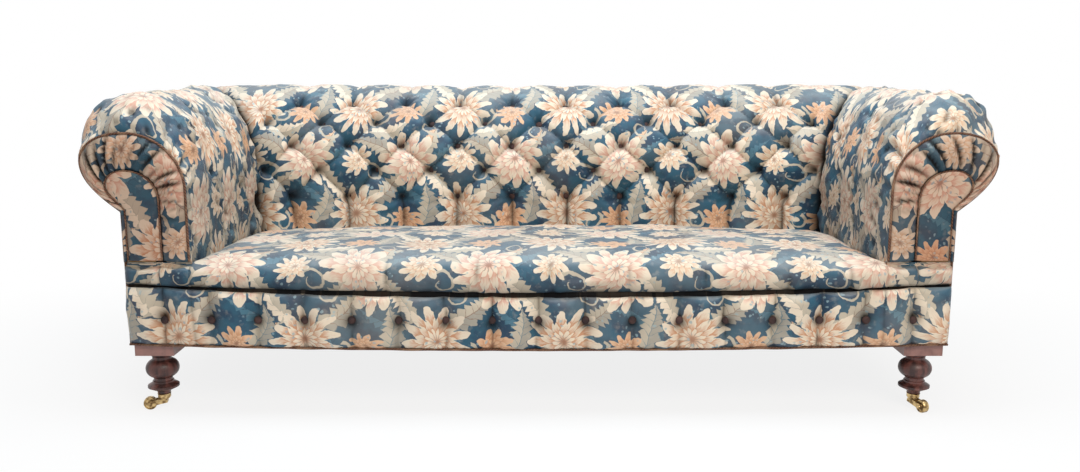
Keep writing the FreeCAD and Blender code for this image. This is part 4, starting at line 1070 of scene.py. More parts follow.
@dataclass(frozen=True)
class Wood(Finish):
    """Wood with straight grain, scuffed in places, and paler above a height as painted highlight with wear.
    """

    light: Colour
    dark: Colour
    gloss: tuple[float, float]
    worn_and_lit: Colour
    worn_and_lit_above: float = 10.0

    def make(self, effects: SharedEffects) -> bpy.types.Material:
        """The finished material.

        Args:
            effects: The shared node groups.

        Returns:
            The material.
        """
        material, g, shader = self.start()
        place = g.node("ShaderNodeTexCoord").outputs["Object"]
        grain = g.group(effects.grain, Place=place, Dark=(*self.dark, 1.0), Light=(*self.light, 1.0))
        rub, _ = g.noise(place, 30.0, 4.0)
        # Painted highlight with wear: above a height, on the leg blocks, the wood goes patchily paler and
        # pinker
        worn_and_lit = g.math("MULTIPLY", g.ramp(g.parts(place)[2], self.worn_and_lit_above, self.worn_and_lit_above + 0.003),
                      g.ramp(rub, 0.30, 0.66, 0.35, 0.75))
        g.feed(shader.inputs["Base Color"], g.mix(worn_and_lit, grain["Colour"], self.worn_and_lit))
        g.feed(shader.inputs["Roughness"], g.ramp(rub, 0.34, 0.68, *self.gloss))
        self.bump(g, shader, grain["Height"], 0.0004, 0.5)
        return material


@dataclass(frozen=True)
class Metal(Finish):
    """Metal with dull patches where it has tarnished."""

    bright: Colour
    tarnish: Colour
    gloss: tuple[float, float]

    def make(self, effects: SharedEffects) -> bpy.types.Material:
        """The finished material.

        Args:
            effects: The shared node groups; not used.

        Returns:
            The material.
        """
        material, g, shader = self.start()
        place = g.node("ShaderNodeTexCoord").outputs["Object"]
        patch, _ = g.noise(place, 90.0, 4.0)
        fine, _ = g.noise(place, 600.0, 2.0)
        dull = g.ramp(patch, 0.38, 0.66)
        g.feed(shader.inputs["Base Color"], g.mix(dull, self.bright, self.tarnish))
        g.feed(shader.inputs["Roughness"], g.ramp(patch, 0.36, 0.66, *self.gloss))
        shader.inputs["Metallic"].default_value = 1.0
        self.bump(g, shader, g.math("ADD", patch, fine), 0.0002, 0.4)
        return material


class Finishes:
    """Every material of the sofa, made once."""

    def __init__(self) -> None:
        """Build the shared effects and the materials on them."""
        effects = SharedEffects()
        self.cotton = PrintedCotton("printed cotton").make(effects)
        # The arm fronts' cotton: tinted browner and darker, soil with painted shade
        self.soiled_and_shaded = PrintedCotton("soiled and shaded cotton", soil_and_shade=(0.82, 0.68, 0.63)).make(effects)
        self.button = PlainCloth("button cloth", light=linear(78, 53, 49), dark=linear(38, 27, 29),
                                 threads=700.0, depth=0.0003).make(effects)
        self.cord = TwistedCord("twisted cord", light=linear(116, 78, 58), dark=linear(56, 36, 29),
                                lay=0.0075).make(effects)
        self.dust = PlainCloth("dust cloth", light=linear(46, 44, 44), dark=linear(26, 25, 26),
                               threads=600.0, depth=0.0002).make(effects)
        self.jute = PlainCloth("jute", light=linear(178, 146, 102), dark=linear(132, 102, 66),
                               threads=300.0, depth=0.0006).make(effects)
        self.mahogany = Wood("mahogany", light=linear(122, 76, 69), dark=linear(56, 35, 33),
                             gloss=(0.32, 0.54), worn_and_lit=linear(172, 130, 122), worn_and_lit_above=0.1445).make(effects)
        self.beech = Wood("beech", light=linear(206, 168, 122), dark=linear(168, 126, 84),
                          gloss=(0.62, 0.80), worn_and_lit=linear(206, 168, 122)).make(effects)
        self.brass = Metal("brass", bright=linear(212, 184, 132), tarnish=linear(118, 94, 64),
                           gloss=(0.26, 0.54)).make(effects)
        self.steel = Metal("steel", bright=linear(176, 174, 170), tarnish=linear(96, 88, 80),
                           gloss=(0.34, 0.60)).make(effects)


def dress(piece: bpy.types.Object, material: bpy.types.Material, slot: Slot, *nodes: str) -> bpy.types.Object:
    """Give a piece its material, and let it ride on the sofa in place of CAD nodes.

    Args:
        piece: The piece.
        material: Its finish.
        slot: The record's slot for that finish; not used.
        nodes: The CAD nodes that it stands for.

    Returns:
        The piece.
    """
    piece.data.materials.append(material)
    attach(piece, BODY)
    if nodes:
        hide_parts(*nodes)
    LOG.info("made %s, %d points", piece.name, len(piece.data.vertices))
    return piece


# Padded pieces

@dataclass
class ButtonedBack:
    """The deep-buttoned back: diamonds between five rows of buttons, pleats to the seat and over the top."""

    pitch: float = 0.160
    first_row: float = 0.134
    row_pitch: float = 0.079
    rows: int = 5
    wide_half: int = 5
    crown: float = 0.007
    pillow: float = 0.024
    button_dip: float = 0.018
    button_spread: float = 0.017
    tuck: float = 0.016
    tuck_wide: float = 0.013
    mitre_shade: float = 0.016
    pleat: float = 0.42
    button_pull: float = 0.075
    button_shade: float = 0.0175
    button_hold: float = 0.013
    button_lift: float = 0.006
    columns: int = 384
    counts: tuple[int, int, int, int] = (40, 64, 24, 16)
    stuffing: Stuffing = Stuffing(slack=0.008, cap=0.006)

    def __post_init__(self) -> None:
        """Measure the section that the cover follows."""
        self.section = BACK_SCROLL.outline(PAD_BOTTOM, self.counts)
        self.along = run_lengths(self.section)
        slope = np.gradient(self.section, self.along, axis=0)
        slope /= np.linalg.norm(slope, axis=1, keepdims=True)
        self.outward = np.column_stack([-slope[:, 1], slope[:, 0]])
        self.crest = self.along[self.counts[0] + self.counts[1]]

    def button_columns(self, row: int) -> np.ndarray:
        """The X places of a row's buttons.

        Args:
            row: The row, from the seat up.

        Returns:
            The places.
        """
        if row % 2:
            return np.arange(-self.wide_half, self.wide_half + 1) * self.pitch
        return (np.arange(-self.wide_half, self.wide_half) + 0.5) * self.pitch

    def button_sites(self) -> list[tuple[float, float]]:
        """Every button as X and distance along the section."""
        return [(float(x), self.first_row + row * self.row_pitch)
                for row in range(self.rows) for x in self.button_columns(row)]

    def fullness(self, x: np.ndarray, s: np.ndarray) -> np.ndarray:
        """How full the padding is: 0 in a pleat and 1 on the crown of a diamond.

        Args:
            x: Places across.
            s: Places along the section.

        Returns:
            The fullness at each place.
        """
        last = self.first_row + (self.rows - 1) * self.row_pitch
        half = self.pitch / 2
        across = (x - half) / half
        up = (np.clip(s, self.first_row, last) - self.first_row) / self.row_pitch
        diamond = np.abs(np.sin(np.pi * (across + up) / 2) * np.sin(np.pi * (across - up) / 2)) ** self.pleat
        over = smooth_step(s, last, self.crest + 0.03)
        below = smooth_step(self.first_row - s, 0.0, self.first_row)
        diamond = diamond ** (1.0 - 0.35 * below)
        behind = smooth_step(s, self.crest + 0.01, self.crest + 0.15)
        full = diamond + (1.0 - diamond) * (0.62 * over + 0.38 * behind)
        ends = smooth_step(np.abs(x), 0.815, 0.875)
        return full * (1 - ends) + 0.82 * ends

    def relief(self, x: np.ndarray, s: np.ndarray, edge: np.ndarray) -> tuple[np.ndarray, np.ndarray]:
        """The padding's height off its section, and its creases.

        Args:
            x: Places across.
            s: Places along the section.
            edge: Distance to the mitre with the arm.

        Returns:
            Heights in metres and crease values.
        """
        warp_x = x + 0.0035 * Ripple(3, 0.34).at(x, s)
        warp_s = s + 0.0030 * Ripple(4, 0.30).at(x, s)
        full = self.fullness(warp_x, warp_s)
        plump = 1.0 + 0.16 * Ripple(5, 0.21).at(x, s)
        height = self.crown - self.pillow * (1.0 - full) * plump
        # Crease values darken the cloth as painted shade: in the pleats, round the buttons and at the mitre
        crease = np.clip(1.0 - full / 0.46, 0.0, 1.0) ** 1.1
        chance = np.random.default_rng(17)
        for site_x, site_s in self.button_sites():
            far = np.hypot(x - site_x, s - site_s)
            near = far < self.button_pull
            turn = np.arctan2(s[near] - site_s, x[near] - site_x)
            dip = self.button_dip * np.exp(-(far[near] / self.button_spread) ** 2)
            folds = 0.0011 * np.sin(chance.integers(6, 9) * turn + chance.uniform(0, 6.3))
            height[near] += folds * np.exp(-((far[near] - 0.026) / 0.016) ** 2) - dip
            crease[near] = np.maximum(crease[near], np.exp(-(far[near] / self.button_shade) ** 2))
        height += 0.0010 * Ripple(6, 0.045).at(x, s) * full
        height -= self.tuck * np.exp(-edge / self.tuck_wide)
        crease = np.maximum(crease, np.clip(1.3 * np.exp(-edge / self.mitre_shade), 0, 1))
        return height, crease

    def build(self, finishes: Finishes) -> bpy.types.Object:
        """Make the back's cover.

        Args:
            finishes: The materials.

        Returns:
            The padded piece.
        """
        share = np.linspace(-1, 1, self.columns + 1)[:, None]
        run, level = self.section[None, :, 0], self.section[None, :, 1]
        s = np.broadcast_to(self.along[None, :], (self.columns + 1, len(self.along))).copy()
        x = share * (SEAT_HALF + run * MITRE)
        edge = (SEAT_HALF + run * MITRE) - np.abs(x)
        height, crease = self.relief(x, s, edge)
        fade = smooth_step(self.along[-1] - s, 0.0, 0.05)
        height = height * fade
        run_off = run + self.outward[None, :, 0] * height
        x_off = share * (SEAT_HALF + run_off * MITRE)
        outer = np.stack([x_off, BACK_FACE + run_off, level + self.outward[None, :, 1] * height], axis=2)
        wall = BACK_SCROLL.lining(self.section)[::LINING]
        lining_x = share[::LINING] * (SEAT_HALF + wall[None, :, 0] * MITRE)
        inner = np.stack([lining_x, np.broadcast_to(BACK_FACE + wall[None, :, 0], lining_x.shape),
                          np.broadcast_to(wall[None, :, 1], lining_x.shape)], axis=2)
        piece = stuffed("back_cover", outer, inner, np.stack([x, s], axis=2), crease)
        hold = np.maximum(sewn(x.shape), 0.4 * crease)
        for site_x, site_s in self.button_sites():
            hold[np.hypot(x - site_x, s - site_s) < self.button_hold] = 1.0
        self.stuffing.settle(piece, hold)
        return dress(piece, finishes.cotton, Slot.PRINT, "back_pad")

    def button_places(self) -> list[tuple[np.ndarray, np.ndarray]]:
        """Where each button sits on the padding, and which way it looks.

        Returns:
            Places and directions.
        """
        places = []
        for x, s in self.button_sites():
            run, level = (np.interp(s, self.along, self.section[:, axis]) for axis in (0, 1))
            away = np.array([0.0] + [np.interp(s, self.along, self.outward[:, axis]) for axis in (0, 1)])
            deep = self.crown - self.pillow - self.button_dip + self.button_lift
            places.append((np.array([x, BACK_FACE + run, level]) + away * deep, away / np.linalg.norm(away)))
        return places


@dataclass
class ScrollArm:
    """One padded arm: it swells from its facing over a rounded nose and runs to the mitre at the back."""

    side: Side
    nose: float = 0.110
    nose_steps: int = 16
    body_steps: int = 104
    counts: tuple[int, int, int, int] = (28, 44, 28, 20)
    soil_and_shade: float = 0.44
    slackness: float = 0.0036
    crumple: float = 0.0015
    fold: float = 0.0060
    gather: float = 0.0070
    wrinkle: float = 0.0030
    tuck: float = 0.014
    heart: tuple[float, float, float] = (SEAT_HALF + 0.12, 0.0, 0.60)
    stuffing: Stuffing = Stuffing(slack=0.018, cap=0.007)

    def stations(self) -> tuple[np.ndarray, np.ndarray]:
        """The arm's sections in space, from the facing to the mitre.

        Returns:
            Their points, and how far each is along the arm.
        """
        facing, full, back = (scroll.outline(PAD_BOTTOM, self.counts)
                              for scroll in (FACING_SCROLL, ARM_SCROLL, BACK_SCROLL))
        crest = self.counts[0] + self.counts[1]
        # The roll swells later on its outside, so that the arm front makes the outline there
        outside = smooth_step(full[:, :1], ARM_SCROLL.crest_run, ARM_SCROLL.reach - 0.030)
        outside[:crest] = 0.0
        rings = []
        for turn in np.linspace(0, math.pi / 2, self.nose_steps + 1):
            swell = math.sin(turn) * (1 - outside) + (1 - math.cos(turn)) * outside
            mid = facing + (full - facing) * swell
            depth = FRAME_FRONT + self.nose * (1 - math.cos(turn))
            rings.append(np.column_stack([SEAT_HALF + mid[:, 0], np.full(len(mid), depth), mid[:, 1]]))
        end = np.column_stack([SEAT_HALF + back[:, 0] * MITRE, BACK_FACE + back[:, 0], back[:, 1]])
        start = rings[-1]
        rings += [start + (end - start) * share for share in np.linspace(0, 1, self.body_steps + 1)[1:]]
        points = np.array(rings)
        return points, run_lengths(points[:, crest])

    def relief(self, u: np.ndarray, v: np.ndarray, behind: np.ndarray) -> tuple[np.ndarray, np.ndarray]:
        """Folds and slackness of the arm's cover.

        Args:
            u: Places along the arm.
            v: Places along its section.
            behind: Distance to the mitre with the back.

        Returns:
            Heights in metres and crease values.
        """
        seed = 40 + self.side.value
        slack = self.slackness * Ripple(seed, 0.15).at(u, v)
        slack += self.crumple * Ripple(seed + 2, 0.055).at(u, v)
        drawn = np.exp(-behind / 0.13) * smooth_step(behind, 0.0, 0.02)
        folds = Ripple(seed + 4, 0.055, 5, (0.9, 3.0)).at(u + 0.5 * v, v)
        drawn_in = np.exp(-u / 0.15) * smooth_step(v, 0.10, 0.26) * (1 - 0.8 * smooth_step(v, 0.36, 0.46))
        gathers = Ripple(seed + 6, 0.042, 5, (4.0, 0.8)).at(u, v) * drawn_in
        fine = Ripple(seed + 8, 0.034, 6, (1.5, 0.9)).at(u, v)
        fine *= np.clip(0.35 + Ripple(seed + 10, 0.17).at(u, v), 0, 1)
        height = slack + self.fold * drawn * folds
        height += self.gather * gathers * smooth_step(u, 0.0, 0.012)
        height += self.wrinkle * fine
        # Crease values darken the cloth as painted shade: in folds, gathers and wrinkles and at the mitre
        crease = 0.75 * drawn * np.clip(-folds - 0.2, 0, 1) + 0.95 * np.clip(-gathers - 0.15, 0, 1)
        crease += 0.85 * np.clip(-fine - 0.15, 0, 1)
        height -= self.tuck * np.exp(-behind / 0.012)
        crease = np.maximum(crease, np.clip(1.3 * np.exp(-behind / 0.015), 0, 1))
        return height, np.clip(crease, 0, 1)

    def build(self, finishes: Finishes) -> bpy.types.Object:
        """Make the arm's cover.

        Args:
            finishes: The materials.

        Returns:
            The padded piece.
        """
        points, along = self.stations()
        section = run_lengths(ARM_SCROLL.outline(PAD_BOTTOM, self.counts))
        v = np.broadcast_to(section[None, :], points.shape[:2])
        behind = points[-1, :, 1][None, :] - points[:, :, 1]
        u = np.broadcast_to(along[:, None], points.shape[:2])
        height, crease = self.relief(u, v, behind)
        held = smooth_step(u, 0.0, 0.02) * smooth_step(v[0, -1] - v, 0.0, 0.04)
        away = grid_normals(points)
        outward = points - np.array(self.heart)
        outward[:, :, 1] = 0.0
        away *= np.sign((away * outward).sum(axis=2, keepdims=True).mean())
        outer = points + away * (height * held)[:, :, None]
        scrolls = [FACING_SCROLL, ARM_SCROLL, BACK_SCROLL]
        walls = [scroll.lining(scroll.outline(PAD_BOTTOM, self.counts))[::LINING] for scroll in scrolls]
        inner = points[::LINING, ::LINING].copy()
        for number, ring in enumerate(inner):
            share = max(0.0, (number * LINING - self.nose_steps) / self.body_steps)
            swell = min(1.0, number * LINING / self.nose_steps)
            front = walls[0] + (walls[1] - walls[0]) * swell
            flat = front + (walls[2] * np.array([MITRE, 1.0]) - front) * share
            ring[:, 0], ring[:, 2] = SEAT_HALF + flat[:, 0], flat[:, 1]
        outer[:, :, 0] *= self.side.value
        inner[:, :, 0] *= self.side.value
        cloth = np.stack([u * -self.side.value + 0.11, v + 0.07], axis=2)
        # Painted shade with soil: the lower inside of the arm is darkened, fading out higher up
        soil_and_shade = self.soil_and_shade * (1 - smooth_step(v, 0.19, 0.32))
        shade = np.maximum(crease, soil_and_shade + 0.5 * crease)
        piece = stuffed(f"{self.side.word}_arm_cover", outer, inner, cloth, shade)
        self.stuffing.settle(piece, np.maximum(sewn(u.shape, 2), 0.3 * crease))
        return dress(piece, finishes.cotton, Slot.PRINT, f"{self.side.word}_arm_pad")


@dataclass
class SprungSeat:
    """The sprung seat: one crowned piece with a rolled lip, small tucks along the lip and slack on top."""

    front: float = -0.470
    rear: float = 0.160
    half: float = 0.833
    under: float = 0.310
    front_top: float = 0.382
    rear_top: float = 0.354
    crown: float = 0.016
    tuck_deep: float = 0.0070
    tuck_puff: float = 0.0030
    side_tuck: float = 0.012
    rear_tuck: float = 0.010
    crevice: float = 0.013
    columns: int = 192
    counts: tuple[int, int, int] = (8, 16, 64)
    tucks: tuple[float, ...] = (-0.735, -0.560, -0.365, -0.150, 0.030, 0.215, 0.400, 0.600, 0.745)
    stuffing: Stuffing = Stuffing(slack=0.006, cap=0.007)

    def section(self, lift: float, rise: float) -> np.ndarray:
        """The seat's section: up the lip and over to the back.

        Args:
            lift: How much higher its top is than beside the arms.
            rise: How much higher the lower edge of its lip is than in the middle.

        Returns:
            An array of (depth, height).
        """
        low, nose = self.under - 0.002 + rise, self.under + 0.034 + rise * 0.6
        top, rear_top, swell = self.front_top + lift, self.rear_top + lift, self.front
        lower = [(swell + 0.020, low), (swell + 0.003, low + 0.003), (swell, nose - 0.016), (swell, nose)]
        upper = [(swell, nose), (swell, top - 0.012), (swell + 0.024, top), (swell + 0.076, top)]
        over = [upper[-1], (swell + 0.200, top), (self.rear - 0.200, rear_top + 0.022), (self.rear, rear_top)]
        parts = [bezier(curve, count) for curve, count in zip((lower, upper, over), self.counts)]
        return np.vstack([np.array(lower[:1])] + parts)

    def build(self, finishes: Finishes) -> bpy.types.Object:
        """Make the seat's cover.

        Args:
            finishes: The materials.

        Returns:
            The padded piece.
        """
        across = np.linspace(-self.half, self.half, self.columns + 1)
        bow = 1 - (across / self.half) ** 2
        rings = [self.section(self.crown * share, lip_line(place)) for share, place in zip(bow, across)]
        points = np.array([np.column_stack([np.full(len(ring), x), ring]) for x, ring in zip(across, rings)])
        v = np.array([run_lengths(ring) for ring in rings])
        x = np.broadcast_to(across[:, None], v.shape)
        edge = self.half - np.abs(x)
        height = 0.0034 * Ripple(60, 0.30).at(x, v) + 0.0011 * Ripple(61, 0.07, 7, (1.0, 1.6)).at(x, v)
        # Crease values darken the cloth as painted shade: in the lip's tucks, at the rear and sides, and in
        # the crevice under the lip
        crease = np.zeros_like(height)
        chance = np.random.default_rng(9)
        for place in self.tucks:
            lean = place + chance.uniform(-0.10, 0.10) * (v - 0.04)
            fade = 1 - smooth_step(v, 0.05, 0.11 + chance.uniform(0, 0.05))
            line = np.exp(-(np.abs(x - lean) / 0.0045)) * fade
            puff = np.exp(-((x - lean - 0.018) / 0.014) ** 2) * (1 - smooth_step(v, 0.06, 0.16))
            height += self.tuck_puff * puff - self.tuck_deep * line
            crease = np.maximum(crease, 0.85 * line)
        beside = smooth_step(v, 0.085, 0.13)
        height -= self.side_tuck * np.exp(-edge / 0.014) * beside
        back = v[:, -1:] - v
        height -= self.rear_tuck * np.exp(-back / 0.02)
        crease = np.maximum(crease, 0.8 * np.exp(-back / 0.012))
        crease = np.maximum(crease, 0.9 * np.exp(-edge / 0.010) * beside)
        crease = np.maximum(crease, lip_shade(v, self.crevice))
        away = grid_normals(points)
        away *= np.sign(away[self.columns // 2, -20, 2])
        outer = points + away * (height * smooth_step(v, 0.0, 0.012))[:, :, None]
        inner = outer[::LINING, ::LINING].copy()
        inner[:, :, 2] = self.under - 0.0005
        inner[:, :, 1] = np.linspace(self.front + 0.024, self.rear - 0.002, inner.shape[1])[None, :]
        piece = stuffed("seat_cover", outer, inner, np.stack([x + 0.05, v + 0.17], axis=2), crease)
        self.stuffing.settle(piece, np.maximum(sewn(x.shape, 2), np.where(crease > 0.4, crease, 0.0)))
        return dress(piece, finishes.cotton, Slot.PRINT, "seat_pad")


@dataclass
class ButtonedBorder:
    """The border under the seat: bays of padding between buttons, with pleats above and below each."""

    pitch: float = 0.1126
    last: int = 8
    top: float = 0.309
    columns: int = 320
    rows: int = 32
    fold_rows: int = 8
    seam: float = 0.826
    seam_deep: float = 0.0055
    bay_puff: float = 0.023
    pit: float = 0.0090
    pit_wide: float = 0.026
    pit_shade: float = 0.019
    gather: float = 0.0017
    button_proud: float = 0.0095
    stuffing: Stuffing = Stuffing(slack=0.012, cap=0.005)

    def sag(self, x: np.ndarray) -> np.ndarray:
        """How far the lower edge hangs below its straight line."""
        return 0.014 * (1 - (x / BASE_HALF) ** 2) - 0.003

    def proud(self, x: np.ndarray, share: np.ndarray) -> tuple[np.ndarray, np.ndarray]:
        """How far the padding stands out from the rail, and its creases.

        Args:
            x: Places across.
            share: From 0 at the lower edge to 1 at the upper one.

        Returns:
            Distances in metres and crease values.
        """
        bent = x + 0.004 * Ripple(70, 0.20).at(x, share * 0.13)
        bay = np.abs(np.sin(np.pi * bent / self.pitch)) ** 0.55
        ends = smooth_step(np.abs(x), self.pitch * self.last + 0.01, self.pitch * self.last + 0.05)
        bay = bay * (1 - ends) + ends
        lower = np.sqrt(np.clip(1 - np.clip(1 - 2 * share, 0, 1) ** 4, 0, 1))
        upper = np.sqrt(np.clip(1 - np.clip((share - 0.84) / 0.16, 0, 1) ** 2.2, 0, 1))
        round_off = lower * (0.45 + 0.55 * upper)
        plump = 1 + 0.22 * Ripple(71, 0.16).at(x, share * 0.13)
        proud = 0.002 + 0.004 * round_off + self.bay_puff * bay * plump * (0.15 + 0.85 * round_off)
        # Crease values darken the cloth as painted shade: in the pleats between bays, in the button pits and
        # at the seams
        crease = np.clip(1 - bay / 0.48, 0, 1) * 0.85
        level = (share - 0.5) * (self.top - BASE_BOTTOM)
        for number in range(-self.last, self.last + 1):
            far = np.hypot(x - number * self.pitch, level)
            proud -= self.pit * np.exp(-(far / self.pit_wide) ** 2)
            crease = np.maximum(crease, np.exp(-(far / self.pit_shade) ** 2))
        line = np.exp(-np.abs(np.abs(x) - self.seam) / 0.0035)
        proud -= self.seam_deep * line
        edge = np.minimum(share, 1 - share)
        gathers = Ripple(72, 0.026, 5, (1.0, 9.0)).at(x, level) * np.exp(-edge / 0.22)
        gathers = self.gather * gathers * smooth_step(edge, 0.0, 0.05)
        proud += gathers + 0.0008 * Ripple(73, 0.04).at(x, level)
        return proud, np.maximum(crease, 0.8 * line)

    def build(self, finishes: Finishes) -> bpy.types.Object:
        """Make the border.

        Args:
            finishes: The materials.

        Returns:
            The padded piece.
        """
        across = np.linspace(-BASE_HALF, BASE_HALF, self.columns + 1)
        fold_marks = 1 + np.linspace(0, 1, self.fold_rows + 1)[1:]
        marks = np.concatenate([np.linspace(0, 1, self.rows + 1), fold_marks])
        x, mark = np.meshgrid(across, marks, indexing="ij")
        share, fold = np.clip(mark, 0, 1), np.clip(mark - 1, 0, 1)
        proud, crease = self.proud(x, share)
        turn_in = smooth_step(BASE_HALF - np.abs(x), -0.004, 0.012)
        bottom = BASE_BOTTOM - self.sag(x)
        joint = self.top + lip_line(x)
        top = joint - 0.003 - 0.008 * np.clip(1 - (x / 0.88) ** 4, 0, 1)
        inward, upward = smooth_step(fold, 0.0, 0.6), smooth_step(fold, 0.6, 1.0)
        dip = top - 0.005 * inward
        level = bottom + (top - bottom) * share + (dip - top) * (fold > 0) + (joint + 0.001 - dip) * upward
        depth = proud * (0.35 + 0.65 * turn_in) * (1 - inward) + 0.003 * inward - 0.002 * upward
        outer = np.stack([x, FRAME_FRONT - depth, level], axis=2)
        inner = outer[::LINING, ::LINING].copy()
        inner[:, :, 1] = FRAME_FRONT - 0.0005
        # Painted shade: the fold into the crevice under the lip is darkened toward black
        crease = np.maximum(crease, smooth_step(fold, 0.0, 0.4))
        cloth = np.stack([x + 0.02, share * (self.top - BASE_BOTTOM) * 1.08 + 0.06], axis=2)
        piece = stuffed("border_cover", outer, inner, cloth, crease)
        self.stuffing.settle(piece, np.maximum(sewn(x.shape), 0.7 * crease + (fold > 0)))
        return dress(piece, finishes.cotton, Slot.PRINT, "front_border_pad")

    def button_places(self) -> list[tuple[np.ndarray, np.ndarray]]:
        """Where each button sits on the border, and which way it looks.

        Returns:
            Places and directions.
        """
        middle = (self.top + BASE_BOTTOM) / 2 - 0.002
        depth, away = FRAME_FRONT - self.button_proud, np.array([0.0, -1.0, 0.0])
        return [(np.array([number * self.pitch, depth, middle]), away)
                for number in range(-self.last, self.last + 1)]


@dataclass
class CoveredButtons:
    """Domed buttons covered in cloth, one shape set at many places."""

    name: str
    node: str
    places: list[tuple[np.ndarray, np.ndarray]]
    radius: float = 0.0098
    dome: float = 0.52
    segments: int = 18
    rings: int = 10
    edge: float = -0.0025
    drawn_in: tuple[float, float, float] = (0.82, 0.82, 0.6)

    def shape(self) -> bpy.types.Mesh:
        """Model one button: a ball pressed flat, with the edge of its cloth drawn in under it.

        Returns:
            The mesh, around the origin with its dome toward +Z.
        """
        bpy.ops.object.select_all(action="DESELECT")
        bpy.ops.mesh.primitive_uv_sphere_add(segments=self.segments, ring_count=self.rings,
                                             radius=self.radius)
        ball = bpy.context.object
        bpy.ops.object.mode_set(mode="EDIT")
        bpy.ops.mesh.select_all(action="SELECT")
        bpy.ops.transform.resize(value=(1.0, 1.0, self.dome))
        bpy.ops.mesh.select_all(action="DESELECT")
        bpy.ops.object.mode_set(mode="OBJECT")
        for vertex in ball.data.vertices:
            vertex.select = vertex.co.z < self.edge
        bpy.ops.object.mode_set(mode="EDIT")
        bpy.ops.transform.resize(value=self.drawn_in)
        bpy.ops.object.mode_set(mode="OBJECT")
        mesh = ball.data.copy()
        bpy.data.objects.remove(ball, do_unlink=True)
        return mesh

    def build(self, finishes: Finishes) -> bpy.types.Object:
        """Set a copy of the button at every place.

        Args:
            finishes: The materials.

        Returns:
            One piece with all the buttons.
        """
        mesh = self.shape()
        base = np.array([vertex.co[:] for vertex in mesh.vertices])
        # A ball's faces start at chance corners, so each is turned to start at its lowest number
        rings = []
        for face in mesh.polygons:
            ring = list(face.vertices)
            first = ring.index(min(ring))
            rings.append(ring[first:] + ring[:first])
        rings.sort()
        points, faces = [], []
        for number, (place, away) in enumerate(self.places):
            turn = np.array(Vector((0, 0, 1)).rotation_difference(Vector(away)).to_matrix())
            points.append(base @ turn.T + place)
            faces += [[corner + number * len(base) for corner in ring] for ring in rings]
        bpy.data.meshes.remove(mesh)
        whole = np.vstack(points)
        piece = new_object(self.name, whole, faces, whole[:, [0, 2]], np.zeros(len(whole)))
        return dress(piece, finishes.button, Slot.PRINT, self.node)


